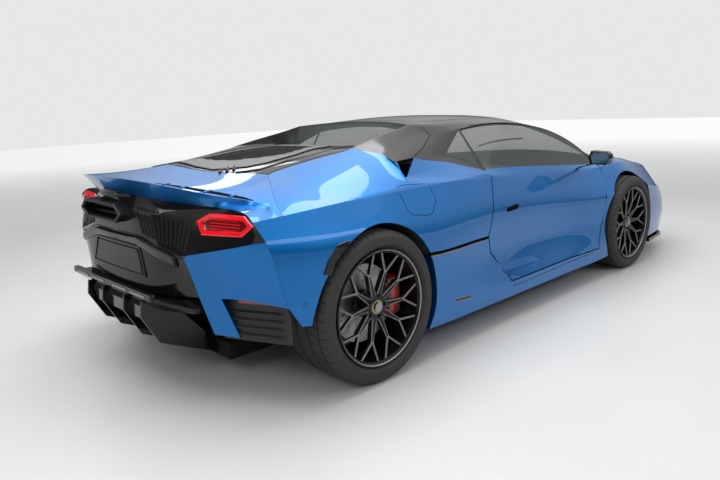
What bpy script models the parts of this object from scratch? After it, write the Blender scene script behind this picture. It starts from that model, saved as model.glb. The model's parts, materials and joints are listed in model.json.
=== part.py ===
"""Mid-engined two-seat supercar, built from separate body panels, glass, lamps, running gear and cabin parts.

Units are metres. +X is forward, +Y is the car's left and +Z is up. The origin is on the ground,
in the middle of the car's length and width. Tables give X in metres ahead of the rear axle on the
car as drawn, and station() stretches it to the driving sizes below.
"""

import math

import bpy
import bmesh
from mathutils import Matrix, Vector

# Driving sizes of the whole car
WHEELBASE = 2.658
REAR_OVERHANG = 0.880
FRONT_OVERHANG = 1.168
HALF_WIDTH = 0.998
LENGTH = REAR_OVERHANG + WHEELBASE + FRONT_OVERHANG
REAR_AXLE_X = REAR_OVERHANG - LENGTH / 2
FRONT_AXLE_X = REAR_AXLE_X + WHEELBASE

# Wheels and tyres: tyre radius and width, wheel flange radius, distance from the middle, rim width
FRONT_WHEEL = {"tyre_r": 0.343, "tyre_w": 0.255, "flange_r": 0.266, "half_track": 0.861, "rim_w": 0.238}
REAR_WHEEL = {"tyre_r": 0.364, "tyre_w": 0.310, "flange_r": 0.279, "half_track": 0.835, "rim_w": 0.292}
WHEEL_STEPS = 36
SPOKES = 10
DISC_R = 0.190
DISC_HALF = 0.016
HUB_R = 0.062
# Outline of one forked spoke: share of the reach, and turn as a share of the angle between spokes
Y_SPOKE = [(0.16, -0.16), (0.60, -0.050), (1.0, -0.42), (1.0, -0.35), (0.70, 0.0), (1.0, 0.35), (1.0, 0.42),
           (0.60, 0.050), (0.16, 0.16)]
FRONT_ARCH_R = 0.378
REAR_ARCH_R = 0.394

# Panels, gaps and clearances
SKIN = 0.012
DECK = 0.008
LIP = 0.005
GLASS = 0.005
SEAM = 0.0006
SHUT_GAP = 0.0072
SEAT = 0.0003
DOOR_INNER = HALF_WIDTH - 0.238
DOOR_TAPER = 0.03
DOOR_FRONT_INSET = 0.022
DOOR_HINGE = (2.39, 0.966, 0.50)

# Floor tray: heights, half width, and the inner face of the side skirts that lies against it
FLOOR_LOW = 0.115
FLOOR_HIGH = 0.150
SKIRT_INNER = HALF_WIDTH - 0.198
TAIL_FRAME_TOP = 0.200
NOSE_FRAME_TOP = 0.185
SPLITTER_LOW = 0.100
SPLITTER_TOP = 0.126

# Steering wheel: centre as drawn, slope of its column, and the column's length down to the dashboard
STEERING_CENTRE = (1.74, 0.36, 0.72)
COLUMN_SLOPE = math.radians(20)
COLUMN_REACH = 0.206

SIDES = {"left": 1, "right": -1}

# Colour, roughness and metallic value of each material
LOOKS = {
    "body_paint": ((0.01, 0.13, 0.62, 1), 0.25, 0.4),
    "gloss_black": ((0.012, 0.012, 0.013, 1), 0.20, 0.0),
    "satin_trim": ((0.02, 0.02, 0.022, 1), 0.55, 0.0),
    "tinted_glass": ((0.05, 0.07, 0.07, 1), 0.05, 0.0),
    "tyre_rubber": ((0.02, 0.02, 0.02, 1), 0.85, 0.0),
    "black_alloy": ((0.03, 0.03, 0.032, 1), 0.30, 0.9),
    "bare_steel": ((0.30, 0.30, 0.31, 1), 0.40, 1.0),
    "tail_lamp_red": ((0.75, 0.01, 0.02, 1), 0.15, 0.0),
    "head_lamp_clear": ((0.60, 0.62, 0.65, 1), 0.10, 0.0),
    "cabin_leather": ((0.03, 0.03, 0.032, 1), 0.60, 0.0),
    "caliper_red": ((0.60, 0.03, 0.02, 1), 0.35, 0.0),
}

for old in list(bpy.data.objects):
    bpy.data.objects.remove(old)
car = bpy.data.collections.new("supercar")
bpy.context.scene.collection.children.link(car)


def station(x, rear=0.880, base=2.658, front=1.103, near=0.45):
    """World X of a point drawn x metres ahead of the rear axle.

    The defaults are the overhangs and the wheelbase of the drawing. The body near each axle keeps
    its length, and only the cabin between stretches with the wheelbase.
    """
    if x < 0:
        return REAR_AXLE_X + x * REAR_OVERHANG / rear
    if x > base:
        return FRONT_AXLE_X + (x - base) * FRONT_OVERHANG / front
    if x < near:
        return REAR_AXLE_X + x
    if x > base - near:
        return FRONT_AXLE_X + x - base
    return REAR_AXLE_X + near + (x - near) * (WHEELBASE - 2 * near) / (base - 2 * near)


def drawn(points, half=0.998):
    """World points of a list drawn as (metres ahead of the rear axle, y, z), on a car drawn with this half width."""
    return [Vector((station(x), y * HALF_WIDTH / half, z)) for x, y, z in points]


def look(name):
    """The Principled material of this name."""
    found = bpy.data.materials.get(name)
    if found:
        return found
    color, roughness, metallic = LOOKS[name]
    new = bpy.data.materials.new(name)
    new.use_nodes = True
    shader = new.node_tree.nodes["Principled BSDF"]
    shader.inputs["Base Color"].default_value = color
    shader.inputs["Roughness"].default_value = roughness
    shader.inputs["Metallic"].default_value = metallic
    return new


def add(name, bm, material_name, smooth=30):
    """Turns a bmesh into a named object of the car."""
    mesh = bpy.data.meshes.new(name)
    bm.to_mesh(mesh)
    bm.free()
    mesh.shade_smooth()
    mesh.set_sharp_from_angle(angle=math.radians(smooth))
    mesh.materials.append(look(material_name))
    piece = bpy.data.objects.new(name, mesh)
    car.objects.link(piece)
    return piece


def boolean(piece, other, operation):
    """Joins, cuts or keeps the common part with another mesh object, which is then removed."""
    step = piece.modifiers.new(operation.lower(), "BOOLEAN")
    step.operation = operation
    step.object = other
    step.solver = "EXACT"
    graph = bpy.context.evaluated_depsgraph_get()
    made = bpy.data.meshes.new_from_object(piece.evaluated_get(graph))
    piece.modifiers.clear()
    piece.data = made
    bpy.data.objects.remove(other)
    return piece


def box(name, low, high, material_name="satin_trim"):
    """A box between two corners, in any order."""
    bm = bmesh.new()
    bmesh.ops.create_cube(bm, size=1)
    low, high = Vector(low), Vector(high)
    size = Vector([abs(b - a) for a, b in zip(low, high)])
    bmesh.ops.scale(bm, vec=size, verts=bm.verts[:])
    bmesh.ops.translate(bm, vec=(low + high) / 2, verts=bm.verts[:])
    return add(name, bm, material_name)


def rod(name, start, end, radius, material_name="satin_trim", segments=12):
    """A round bar between two points."""
    start, end = Vector(start), Vector(end)
    bm = bmesh.new()
    bmesh.ops.create_cone(bm, cap_ends=True, segments=segments, radius1=radius, radius2=radius,
                          depth=(end - start).length)
    turn = Vector((0, 0, 1)).rotation_difference(end - start).to_matrix().to_4x4()
    bmesh.ops.transform(bm, matrix=Matrix.Translation((start + end) / 2) @ turn, verts=bm.verts[:])
    return add(name, bm, material_name)


def prism(name, outline, depth, material_name="satin_trim"):
    """A block from a flat outline of points, pushed along the vector depth."""
    bm = bmesh.new()
    first = [bm.verts.new(p) for p in outline]
    second = [bm.verts.new(Vector(p) + Vector(depth)) for p in outline]
    count = len(outline)
    bm.faces.new(first)
    bm.faces.new(second[::-1])
    for i in range(count):
        j = (i + 1) % count
        bm.faces.new((first[j], first[i], second[i], second[j]))
    bmesh.ops.recalc_face_normals(bm, faces=bm.faces[:])
    return add(name, bm, material_name)


def hull(name, points, material_name="satin_trim"):
    """The convex block round these points."""
    bm = bmesh.new()
    for point in points:
        bm.verts.new(point)
    bmesh.ops.convex_hull(bm, input=bm.verts[:])
    return add(name, bm, material_name)


def join(name, pieces):
    """One body from overlapping pieces."""
    first = pieces[0]
    for other in pieces[1:]:
        boolean(first, other, "UNION")
    first.name = name
    first.data.name = name
    return first


def cut(piece, cutters):
    """Cuts each of these objects out of the piece."""
    for cutter in cutters:
        boolean(piece, cutter, "DIFFERENCE")
    return piece


def spline(points, count, sharp=()):
    """Points along a smooth curve through the control points, with corners at those numbered in sharp."""
    points = [Vector(p) for p in points]
    last = len(points) - 1
    out = []
    for i in range(count):
        t = i * last / (count - 1)
        k = min(int(t + 1e-9), last - 1)
        f = t - k
        a, b = points[k], points[k + 1]
        before = b - a if k == 0 or k in sharp else (b - points[k - 1]) / 2
        after = b - a if k + 1 == last or k + 1 in sharp else (points[k + 2] - a) / 2
        out.append((2 * f**3 - 3 * f**2 + 1) * a + (f**3 - 2 * f**2 + f) * before
                   + (3 * f**2 - 2 * f**3) * b + (f**3 - f**2) * after)
    return out


def loft(lines, across, sharp=()):
    """A grid over lines of points of the same length, with this number of rows."""
    columns = [spline(points, across, sharp) for points in zip(*lines)]
    return [list(row) for row in zip(*columns)]


def ruled(first, second, across):
    """A grid that runs straight from one line of points to another."""
    return [[a.lerp(b, j / (across - 1)) for a, b in zip(first, second)] for j in range(across)]


def mirrored(points):
    """The same points on the other side of the car."""
    return [Vector((p[0], -p[1], p[2])) for p in points]


def both_sides(grids):
    """Grids of the left half, facing out, with their mirror images."""
    grids = [outward(grid) for grid in grids]
    return grids + [[mirrored(row)[::-1] for row in grid] for grid in grids]


def whole(half):
    """A line of 13 points over the whole width from its left half, given from the left to the middle."""
    half = spline(half, 7)
    return half + mirrored(half)[-2::-1]


# Body side. Each row is a station, then the inset from the half width and the height of five lines
# that run the length of the car: sill, rocker, waist, flank and shoulder.
SIDE_TABLE = [
    # x      sill          rocker        waist         flank         shoulder
    (-0.64, 0.100, 0.40, 0.080, 0.50, 0.075, 0.60, 0.075, 0.74, 0.125, 0.845),
    (-0.35, 0.042, 0.37, 0.022, 0.46, 0.014, 0.58, 0.013, 0.72, 0.085, 0.865),
    (0.00, 0.023, 0.20, 0.008, 0.36, 0.001, 0.52, 0.004, 0.71, 0.093, 0.875),
    (0.40, 0.033, 0.16, 0.018, 0.25, 0.023, 0.45, 0.023, 0.66, 0.113, 0.875),
    (0.80, 0.043, 0.15, 0.033, 0.24, 0.063, 0.44, 0.053, 0.65, 0.133, 0.865),
    (1.30, 0.048, 0.145, 0.043, 0.235, 0.103, 0.42, 0.083, 0.63, 0.163, 0.835),
    (1.80, 0.048, 0.145, 0.048, 0.235, 0.103, 0.40, 0.083, 0.60, 0.168, 0.800),
    (2.25, 0.043, 0.145, 0.038, 0.230, 0.058, 0.40, 0.043, 0.58, 0.153, 0.775),
    (2.66, 0.048, 0.17, 0.018, 0.300, 0.004, 0.45, 0.013, 0.62, 0.138, 0.785),
    (3.05, 0.068, 0.16, 0.048, 0.260, 0.043, 0.40, 0.053, 0.57, 0.198, 0.745),
    (3.40, 0.128, 0.15, 0.113, 0.240, 0.103, 0.36, 0.128, 0.50, 0.268, 0.670),
    (3.55, 0.188, 0.14, 0.173, 0.230, 0.163, 0.35, 0.198, 0.47, 0.358, 0.625),
]
SIDE_LINES = 5
SIDE_CORNERS = (1,)


def side_section(x):
    """The five side points at a drawn station, from the sill up, on the left."""
    rows = SIDE_TABLE
    k = 0
    while k < len(rows) - 2 and x > rows[k + 1][0]:
        k += 1
    a, b = rows[k], rows[k + 1]
    step = b[0] - a[0]
    f = (x - a[0]) / step
    out = []
    for column in range(1, len(a)):
        before = after = b[column] - a[column]
        if k > 0:
            before = step * (b[column] - rows[k - 1][column]) / (b[0] - rows[k - 1][0])
        if k + 2 < len(rows):
            after = step * (rows[k + 2][column] - a[column]) / (rows[k + 2][0] - a[0])
        out.append((2 * f**3 - 3 * f**2 + 1) * a[column] + (f**3 - 2 * f**2 + f) * before
                   + (3 * f**2 - 2 * f**3) * b[column] + (f**3 - f**2) * after)
    return [Vector((station(x), HALF_WIDTH - out[2 * n], out[2 * n + 1])) for n in range(SIDE_LINES)]


def side_point(x, line):
    """A point of the body side at a drawn station, and at a line from 0, the sill, to 4, the shoulder."""
    points = side_section(x)
    k = min(int(line + 1e-9), SIDE_LINES - 2)
    f = line - k
    a, b = points[k], points[k + 1]
    before = b - a if k == 0 or k in SIDE_CORNERS else (b - points[k - 1]) / 2
    after = b - a if k + 2 == SIDE_LINES or k + 1 in SIDE_CORNERS else (points[k + 2] - a) / 2
    return ((2 * f**3 - 3 * f**2 + 1) * a + (f**3 - 2 * f**2 + f) * before
            + (3 * f**2 - 2 * f**3) * b + (f**3 - f**2) * after)


def cut_at(cut_line, line):
    """Drawn station of a shut line, given as (line, station) pairs, at this line of the body side."""
    for (l0, x0), (l1, x1) in zip(cut_line, cut_line[1:]):
        if line <= l1 + 1e-9:
            return x0 + (x1 - x0) * (line - l0) / (l1 - l0)
    return cut_line[-1][1]


def side_grid(rear_cut, front_cut, lines, along):
    """A grid over the body side between two shut lines, with a row at each of these lines."""
    grid = []
    for line in lines:
        first, last = cut_at(rear_cut, line), cut_at(front_cut, line)
        grid.append([side_point(first + (last - first) * i / along, line) for i in range(along + 1)])
    return grid


# Shut lines on the body side, as (line, station) pairs from the sill up
TAIL_CUT = [(0, -0.44), (1, -0.505), (4, -0.60)]
DECK_CUT = [(0, -0.35), (4, -0.47)]
INTAKE_CUT = [(0, 0.33), (4, 0.33)]
DOOR_REAR_CUT = [(0, 1.12), (1, 1.12), (2, 0.93), (2.6, 0.89), (4, 1.05)]
DOOR_FRONT_CUT = [(0, 2.16), (1, 2.19), (2, 2.25), (3, 2.28), (4, 2.38)]
NOSE_CUT = [(0, 3.08), (1, 3.08), (4, 3.20)]
NOSE_END = [(0, 3.55), (4, 3.55)]
SPLIT = 2.5
LOWER_LINES = (0, 1, 1.5, 2, SPLIT)
SKIRT_LINES = (0, 1, 1.5, 2, SPLIT - 0.07)
UPPER_LINES = (SPLIT, 3, 3.3, 3.6, 3.8, 4)
ALL_LINES = LOWER_LINES + UPPER_LINES[1:]
WING_LINES = (0, 1, 1.5, 2, 3, 4)
DOOR_LINES = (1, 1.5, 2) + UPPER_LINES

# Lines over the top of the car, all on the left
BELT = drawn([(1.05, 0.805, 0.884), (1.40, 0.806, 0.862), (1.90, 0.803, 0.828), (2.40, 0.795, 0.795)])
RAIL = drawn([(1.05, 0.625, 1.118), (1.30, 0.615, 1.137), (1.62, 0.620, 1.125), (1.95, 0.640, 1.075),
              (2.20, 0.675, 0.990), (2.34, 0.735, 0.890), (2.40, 0.795, 0.795)])
SCREEN_BASE = drawn([(2.60, 0.695, 0.822), (2.74, 0.480, 0.828), (2.84, 0.240, 0.838), (2.86, 0, 0.842)])
HEADER = drawn([(1.72, 0.560, 1.137), (1.76, 0.380, 1.163), (1.78, 0.190, 1.176), (1.79, 0, 1.180)])
ROOF_REAR = drawn([(0.75, 0.490, 1.160), (0.80, 0.330, 1.172), (0.84, 0.160, 1.178), (0.85, 0, 1.180)])
BONNET_EDGE = drawn([(2.60, 0.695, 0.822), (2.90, 0.660, 0.785), (3.25, 0.590, 0.700), (3.58, 0.470, 0.585)])
BONNET_NOSE = drawn([(3.58, 0.470, 0.585), (3.63, 0.310, 0.590), (3.65, 0.155, 0.592), (3.655, 0, 0.593)])
DECK_FRONT = drawn([(-0.36, 0.680, 0.935), (-0.22, 0.480, 0.988), (-0.40, 0.290, 0.999), (-0.46, 0.140, 1.020),
                    (-0.48, 0, 1.040)])
DECK_MID = drawn([(-0.42, 0.740, 0.918), (-0.42, 0.560, 0.958), (-0.56, 0.370, 0.984), (-0.64, 0.180, 1.006),
                  (-0.685, 0, 1.020)])
DECK_REAR = drawn([(-0.455, 0.800, 0.893), (-0.620, 0.620, 0.942), (-0.730, 0.440, 0.983), (-0.815, 0.240, 1.012),
                   (-0.880, 0, 1.026)])
SLOT_LOW = drawn([(-0.480, 0.800, 0.879), (-0.600, 0.620, 0.915), (-0.700, 0.440, 0.950), (-0.785, 0.240, 0.980),
                  (-0.850, 0, 1.000)])
TAIL_TOP = drawn([(-0.590, 0.800, 0.882), (-0.603, 0.620, 0.888), (-0.655, 0.440, 0.897), (-0.745, 0.240, 0.922),
                  (-0.815, 0, 0.957)])
PILLAR_TIP, PILLAR_LOW, INTAKE_TOP, SEAM_LOW, SEAM_TOP = drawn([
    (0.27, 0.530, 1.066), (0.36, 0.630, 1.040), (0.33, 0.775, 0.998), (0.50, 0.752, 1.003), (0.807, 0.600, 1.098)])
FIN_TOP = [PILLAR_TIP] + drawn([(0.43, 0.515, 1.098), (0.60, 0.500, 1.128)]) + [ROOF_REAR[0]]
WINDOW_LOW = drawn([(0.66, 0.470, 1.045), (0.66, 0.300, 1.038), (0.66, 0.150, 1.036), (0.66, 0, 1.036)])
FIN_FOOT = [PILLAR_TIP] + drawn([(0.42, 0.500, 1.066)]) + [WINDOW_LOW[0], ROOF_REAR[0]]
GLASS_LOW, GLASS_TOP = drawn([(0.80, 0.715, 0.985), (1.05, 0.625, 1.118)])
QUARTER_TOP = DECK_FRONT[:2] + drawn([(0.04, 0.500, 1.034)]) + [PILLAR_TIP, PILLAR_LOW, INTAKE_TOP]
INTAKE_EDGE = drawn([(0.33, 0.835, 0.925), (0.42, 0.825, 0.914), (0.75, 0.840, 0.888), (1.05, 0.835, 0.872)])
BLADE_TOP = [SEAM_LOW] + drawn([(0.80, 0.762, 0.952)]) + [BELT[0]]

panels = {}


def sheet(name, grids, material_name, thickness=SKIN, moves=None, flat=None, both=True):
    """Notes an outer panel's grids for the skin.

    Panels with the same moves value open together. A panel with flat set has its inner face at this
    distance from the car's middle. With both set the panel is made on each side, named for its side.
    """
    if not both:
        grids = [outward(grid) for grid in grids]
        panels[name] = (grids, material_name, thickness, moves, flat, 1)
        return
    grids = [outward(grid) for grid in grids]
    for side_name, side in SIDES.items():
        side_grids = grids if side > 0 else both_sides(grids)[len(grids):]
        panels[f"{name}_{side_name}"] = (side_grids, material_name, thickness, moves and f"{moves}_{side_name}",
                                         flat, side)


def fender_grids():
    """Side of the front wing, and its top with a crest over the wheel."""
    side = side_grid(DOOR_FRONT_CUT, NOSE_CUT, WING_LINES, 11)
    shoulder = side[-1]
    inner = [RAIL[-1].lerp(BONNET_EDGE[0], i / 3) for i in range(3)] + spline(BONNET_EDGE, 13)[:9]
    crest = [a.lerp(b, 0.5) + Vector((0, 0.01, 0.018 * math.sin(math.pi * i / 11)))
             for i, (a, b) in enumerate(zip(shoulder, inner))]
    return [side, loft([shoulder, crest, inner], 5)]


def quarter_top():
    """Upper edge of the rear quarter, from the deck's corner to the shoulder intake."""
    return spline([side_point(cut_at(DECK_CUT, 4), 4)] + QUARTER_TOP, 13, sharp=(2, 4, 5))


def quarter_grids():
    """Haunch over the rear wheel, and the blade inside the shoulder intake."""
    rear_side = side_grid(TAIL_CUT, DECK_CUT, ALL_LINES, 4)
    haunch = side_grid(DECK_CUT, INTAKE_CUT, ALL_LINES, 12)
    front_side = side_grid(INTAKE_CUT, DOOR_REAR_CUT, UPPER_LINES, 6)
    top = quarter_top()
    swell = [a.lerp(b, 0.45) + Vector((0, 0.010, 0.018)) * math.sin(math.pi * i / 12)
             for i, (a, b) in enumerate(zip(haunch[-1], top))]
    intake = spline(INTAKE_EDGE, 7)
    return [rear_side, haunch, front_side, loft([haunch[-1], swell, top], 5),
            loft([front_side[-1], intake], 2), loft([intake[1:], spline(BLADE_TOP, 6)], 3)]


def bumper_grids():
    """Nose of the car from the wings forward, on the left half."""
    side = side_grid(NOSE_CUT, NOSE_END, WING_LINES, 4)
    nose = [drawn(line) for line in NOSE_LINES]
    front = [spline([row[-1]] + points, 7) for row, points in zip(side, nose)]
    wing = [row[-1] for row in fender_grids()[1]]
    edge = spline(BONNET_EDGE, 13)[8:]
    top = ruled(side[-1], edge, len(wing))
    for row, point in zip(top, wing):
        row[0] = point
    tip = ruled(front[-1], spline(BONNET_NOSE, 7), len(wing))
    return [side, front, top, tip]


# Nose from the side to the middle at the sill, rocker, waist, flank and shoulder heights
NOSE_LINES = [
    [(3.66, 0.56, 0.135), (3.70, 0.28, 0.130), (3.71, 0, 0.130)],
    [(3.68, 0.56, 0.215), (3.72, 0.28, 0.210), (3.735, 0, 0.210)],
    [(3.69, 0.56, 0.285), (3.735, 0.28, 0.285), (3.750, 0, 0.285)],
    [(3.695, 0.56, 0.360), (3.740, 0.28, 0.365), (3.761, 0, 0.370)],
    [(3.68, 0.54, 0.475), (3.735, 0.28, 0.485), (3.752, 0, 0.490)],
    [(3.61, 0.44, 0.578), (3.66, 0.25, 0.583), (3.68, 0, 0.585)],
]

# Black tail panel from the side to the middle, at lamp height, over the plate, and down to the shelf
TAIL_LAMPS = drawn([(-0.610, 0.800, 0.833), (-0.650, 0.560, 0.838), (-0.730, 0.400, 0.850), (-0.790, 0.230, 0.865),
                    (-0.800, 0, 0.870)])
TAIL_PLATE = drawn([(-0.640, 0.800, 0.745), (-0.740, 0.550, 0.695), (-0.765, 0.400, 0.705), (-0.775, 0.230, 0.720),
                    (-0.780, 0, 0.725)])
TAIL_UNDER = drawn([(-0.720, 0.570, 0.600), (-0.770, 0.420, 0.590), (-0.790, 0.260, 0.580), (-0.795, 0, 0.580)])
TAIL_SHELF = drawn([(-0.700, 0.580, 0.510), (-0.760, 0.440, 0.510), (-0.800, 0.280, 0.510), (-0.810, 0, 0.510)])
CORNER_LINES = (1, 1.5, 2, SPLIT, 3, 3.3)
CORNER_MID = drawn([(-0.600, 0.770, 0.512), (-0.620, 0.790, 0.630), (-0.640, 0.800, 0.745)])
FINGER = [drawn([(-0.636, 0.705, 0.511), (-0.700, 0.580, 0.510)]), drawn([(-0.600, 0.715, 0.332), (-0.655, 0.600, 0.336)])]


def crease(line):
    """A point of the vertical crease behind the rear wheel."""
    return side_point(cut_at(TAIL_CUT, line), line)


def deck_grids():
    """Painted deck out to its lip, and the face under the lip down to the black tail panel, on the left half."""
    edge = [side_point(-0.60 + 0.13 * j / 4, 4) for j in range(5)]
    top = [spline([edge[2]] + DECK_REAR, 11), spline([edge[3]] + DECK_MID, 11),
           spline([edge[4]] + DECK_FRONT, 11, sharp=(2,))]
    face = [spline([edge[1]] + SLOT_LOW, 11), spline([edge[0]] + TAIL_TOP, 11)]
    return [top, [top[0]] + face]


def tail_grids():
    """Black tail panel on the left half."""
    upper = [deck_grids()[1][2], spline([crease(3.6)] + TAIL_LAMPS, 11), spline([crease(3.3)] + TAIL_PLATE, 11, sharp=(2,))]
    lower = loft([upper[2][4:], spline(TAIL_UNDER, 7), spline(TAIL_SHELF, 7)], 3)
    return [upper, lower]


def corner_grids():
    """Painted corner between the crease and the tail panel, and the finger under it."""
    outer = [crease(line) for line in CORNER_LINES]
    middle = spline(CORNER_MID, len(outer))
    inner = [TAIL_SHELF[0], TAIL_SHELF[0].lerp(TAIL_UNDER[0], 0.5), TAIL_UNDER[0],
             TAIL_UNDER[0].lerp(TAIL_PLATE[1], 0.33), TAIL_UNDER[0].lerp(TAIL_PLATE[1], 0.67), TAIL_PLATE[1]]
    plate = tail_grids()[0][2]
    rows = [[outer[k], outer[k].lerp(middle[k], 0.5), middle[k], middle[k].lerp(inner[k], 0.5), inner[k]]
            for k in range(len(outer))]
    rows[-1] = plate[:5]
    return [rows, loft([[rows[0][3], rows[0][4]], FINGER[1]], 3)]


def glasshouse():
    """Notes the windscreen, roof, rear pillars and side glass."""
    header = whole(HEADER)
    middle = whole(drawn([(2.17, 0.612, 1.008), (2.23, 0.410, 1.038), (2.27, 0.200, 1.050), (2.285, 0, 1.054)]))
    screen = loft([header, middle, whole(SCREEN_BASE)], 9)
    sheet("windscreen", [screen], "tinted_glass", GLASS, both=False)
    top = whole(drawn([(1.25, 0.595, 1.141), (1.25, 0.420, 1.178), (1.25, 0.210, 1.196), (1.25, 0, 1.201)]))
    roof = loft([header, top, whole(ROOF_REAR)], 7)
    rail = spline(RAIL, 13)
    pillar = ruled([row[0] for row in screen], rail[4:], 4)
    cant = ruled([row[0] for row in roof], rail[4::-1] + [GLASS_TOP.lerp(SEAM_TOP, 0.5), SEAM_TOP], 4)
    sheet("roof", [roof] + both_sides([pillar, cant]), "gloss_black", 0.016, both=False)
    sheet("door_glass", [loft([spline(BELT, 13), rail], 4)], "tinted_glass", GLASS, "door")
    fin = [[PILLAR_TIP, PILLAR_LOW, INTAKE_TOP, SEAM_LOW],
           [PILLAR_TIP] + drawn([(0.42, 0.590, 1.068), (0.56, 0.650, 1.060)]) + [SEAM_TOP], FIN_TOP, FIN_FOOT]
    blade = spline(BLADE_TOP, 6)
    strip = [SEAM_LOW, SEAM_LOW.lerp(GLASS_LOW, 0.5), GLASS_LOW] + [GLASS_LOW.lerp(BELT[0], k / 3) for k in (1, 2, 3)]
    fin = [spline(row, 7, sharp=(1, 2) if row in (fin[0], FIN_FOOT) else ()) for row in fin]
    sheet("rear_pillar", [fin, [strip[:3], [SEAM_TOP, SEAM_TOP.lerp(GLASS_TOP, 0.5), GLASS_TOP]],
                          [blade, strip]], "gloss_black")
    sheet("quarter_glass", [[strip[2:], [GLASS_TOP] * 4]], "tinted_glass", GLASS)


def bonnet_grid():
    """The bonnet over its whole width, from the windscreen base to the nose, a little crowned."""
    edge = spline(BONNET_EDGE, 13)
    spine = spline([SCREEN_BASE[-1]] + drawn([(3.10, 0, 0.775), (3.40, 0, 0.690)]) + [BONNET_NOSE[-1]], 13)
    rows = []
    for k, (a, c) in enumerate(zip(edge, spine)):
        row = [a]
        for j in (1, 2):
            rear = SCREEN_BASE[j] - SCREEN_BASE[0].lerp(SCREEN_BASE[-1], j / 3)
            front = BONNET_NOSE[j] - BONNET_NOSE[0].lerp(BONNET_NOSE[-1], j / 3)
            crown = Vector((0, 0, 0.012 * math.sin(math.pi * k / 12)))
            row.append(a.lerp(c, j / 3) + rear.lerp(front, k / 12) + crown)
        rows.append(whole(row + [c]))
    return rows


def fin_foot():
    """Foot of the fin beside the engine cover and the rear window."""
    return spline(FIN_FOOT, 7, sharp=(1, 2))


def cover_grid():
    """The engine cover over its whole width, from the deck to the foot of the rear window."""
    side_edge = quarter_top()[4:9] + fin_foot()[2:4]
    ridge = spline([DECK_FRONT[2]] + drawn([(-0.05, 0.300, 1.030), (0.27, 0.300, 1.060)]), 5)
    middle = spline([DECK_FRONT[4]] + drawn([(-0.10, 0, 1.050), (0.27, 0, 1.062)]), 5)
    ridge += drawn([(0.42, 0.280, 1.060), (0.54, 0.280, 1.056)])
    middle += drawn([(0.42, 0, 1.060), (0.54, 0, 1.053)])
    rows = [whole([a, b, b.lerp(c, 0.5), c]) for a, b, c in zip(side_edge, ridge, middle)]
    rows[0] = whole(deck_grids()[0][2][4:])
    return rows


def lay_out_panels():
    """Notes every outer panel."""
    sheet("front_fender", fender_grids(), "body_paint")
    door_side = side_grid(DOOR_REAR_CUT, DOOR_FRONT_CUT, DOOR_LINES, 12)
    sheet("door", [door_side, loft([door_side[-1], spline(BELT, 13)], 2)], "body_paint", moves="door", flat=DOOR_INNER)
    sheet("rear_quarter", quarter_grids(), "body_paint")
    skirt = side_grid(INTAKE_CUT, DOOR_REAR_CUT, SKIRT_LINES, 6)
    sill = side_grid(DOOR_REAR_CUT, DOOR_FRONT_CUT, (0, 1), 12)
    sheet("side_skirt", [skirt, sill], "body_paint", flat=SKIRT_INNER)
    glasshouse()
    sheet("bonnet", [bonnet_grid()], "body_paint", DECK, "bonnet", both=False)
    for name, grids, material_name in (("front_bumper", bumper_grids(), "body_paint"),
                                       ("rear_bumper", tail_grids(), "gloss_black"),
                                       ("tail_deck", deck_grids(), "body_paint")):
        sheet(name, both_sides(grids), material_name, LIP if name == "tail_deck" else SKIN, both=False)
    sheet("rear_corner", corner_grids(), "body_paint")
    cover = cover_grid()
    sheet("engine_cover", [cover], "gloss_black", 0.016, "engine_cover", both=False)
    sheet("rear_screen", [[cover[-1], whole(WINDOW_LOW), whole(ROOF_REAR)]], "tinted_glass", GLASS, both=False)


def outward(grid):
    """The grid with its faces turned away from the middle of the car."""
    total = 0
    for low, high in zip(grid, grid[1:]):
        for i in range(len(low) - 1):
            normal = (high[i + 1] - low[i]).cross(high[i] - low[i + 1])
            middle = (low[i] + high[i + 1]) / 2
            core = Vector((min(max(middle.x, station(-0.3)), station(3.2)), 0, 0.5))
            total += normal.dot(middle - core)
    return grid if total > 0 else [row[::-1] for row in grid]


def skin_mesh():
    """Every panel's faces in one welded mesh, with the number of its panel on each face."""
    bm = bmesh.new()
    tag = bm.faces.layers.int.new("panel")
    for number, (grids, *_) in enumerate(panels.values()):
        for grid in grids:
            verts = [[bm.verts.new(p) for p in row] for row in grid]
            for low, high in zip(verts, verts[1:]):
                for i in range(len(low) - 1):
                    bm.faces.new((low[i], low[i + 1], high[i + 1], high[i]))[tag] = number
    bmesh.ops.remove_doubles(bm, verts=bm.verts[:], dist=0.0008)
    return bm, tag


def edge_gap(edge, tag, moves):
    """Half gap of a seam, or the full shut gap on the moving side of one where a panel opens.

    The sharper the bend between the two panels, the further back an edge goes to keep the shut gap.
    """
    faces = edge.link_faces
    others = {list(panels.values())[face[tag]][3] for face in faces}
    if moves is None or others == {moves} and len(faces) > 1:
        return SEAM / 2
    bend = faces[0].normal.dot(faces[-1].normal)
    return SHUT_GAP / max(math.sqrt(max(1 + bend, 0) / 2), 0.5)


def edge_shift(ways):
    """The move of an edge vertex that takes it this far from each of its open edges."""
    (first, g1), (second, g2) = ways[0], ways[-1]
    across = first.dot(second)
    if across > 0.9:
        return (first + second) * max(g1, g2) / (1 + across)
    spread = max(1 - across * across, 0.08)
    return first * (g1 - g2 * across) / spread + second * (g2 - g1 * across) / spread


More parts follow.
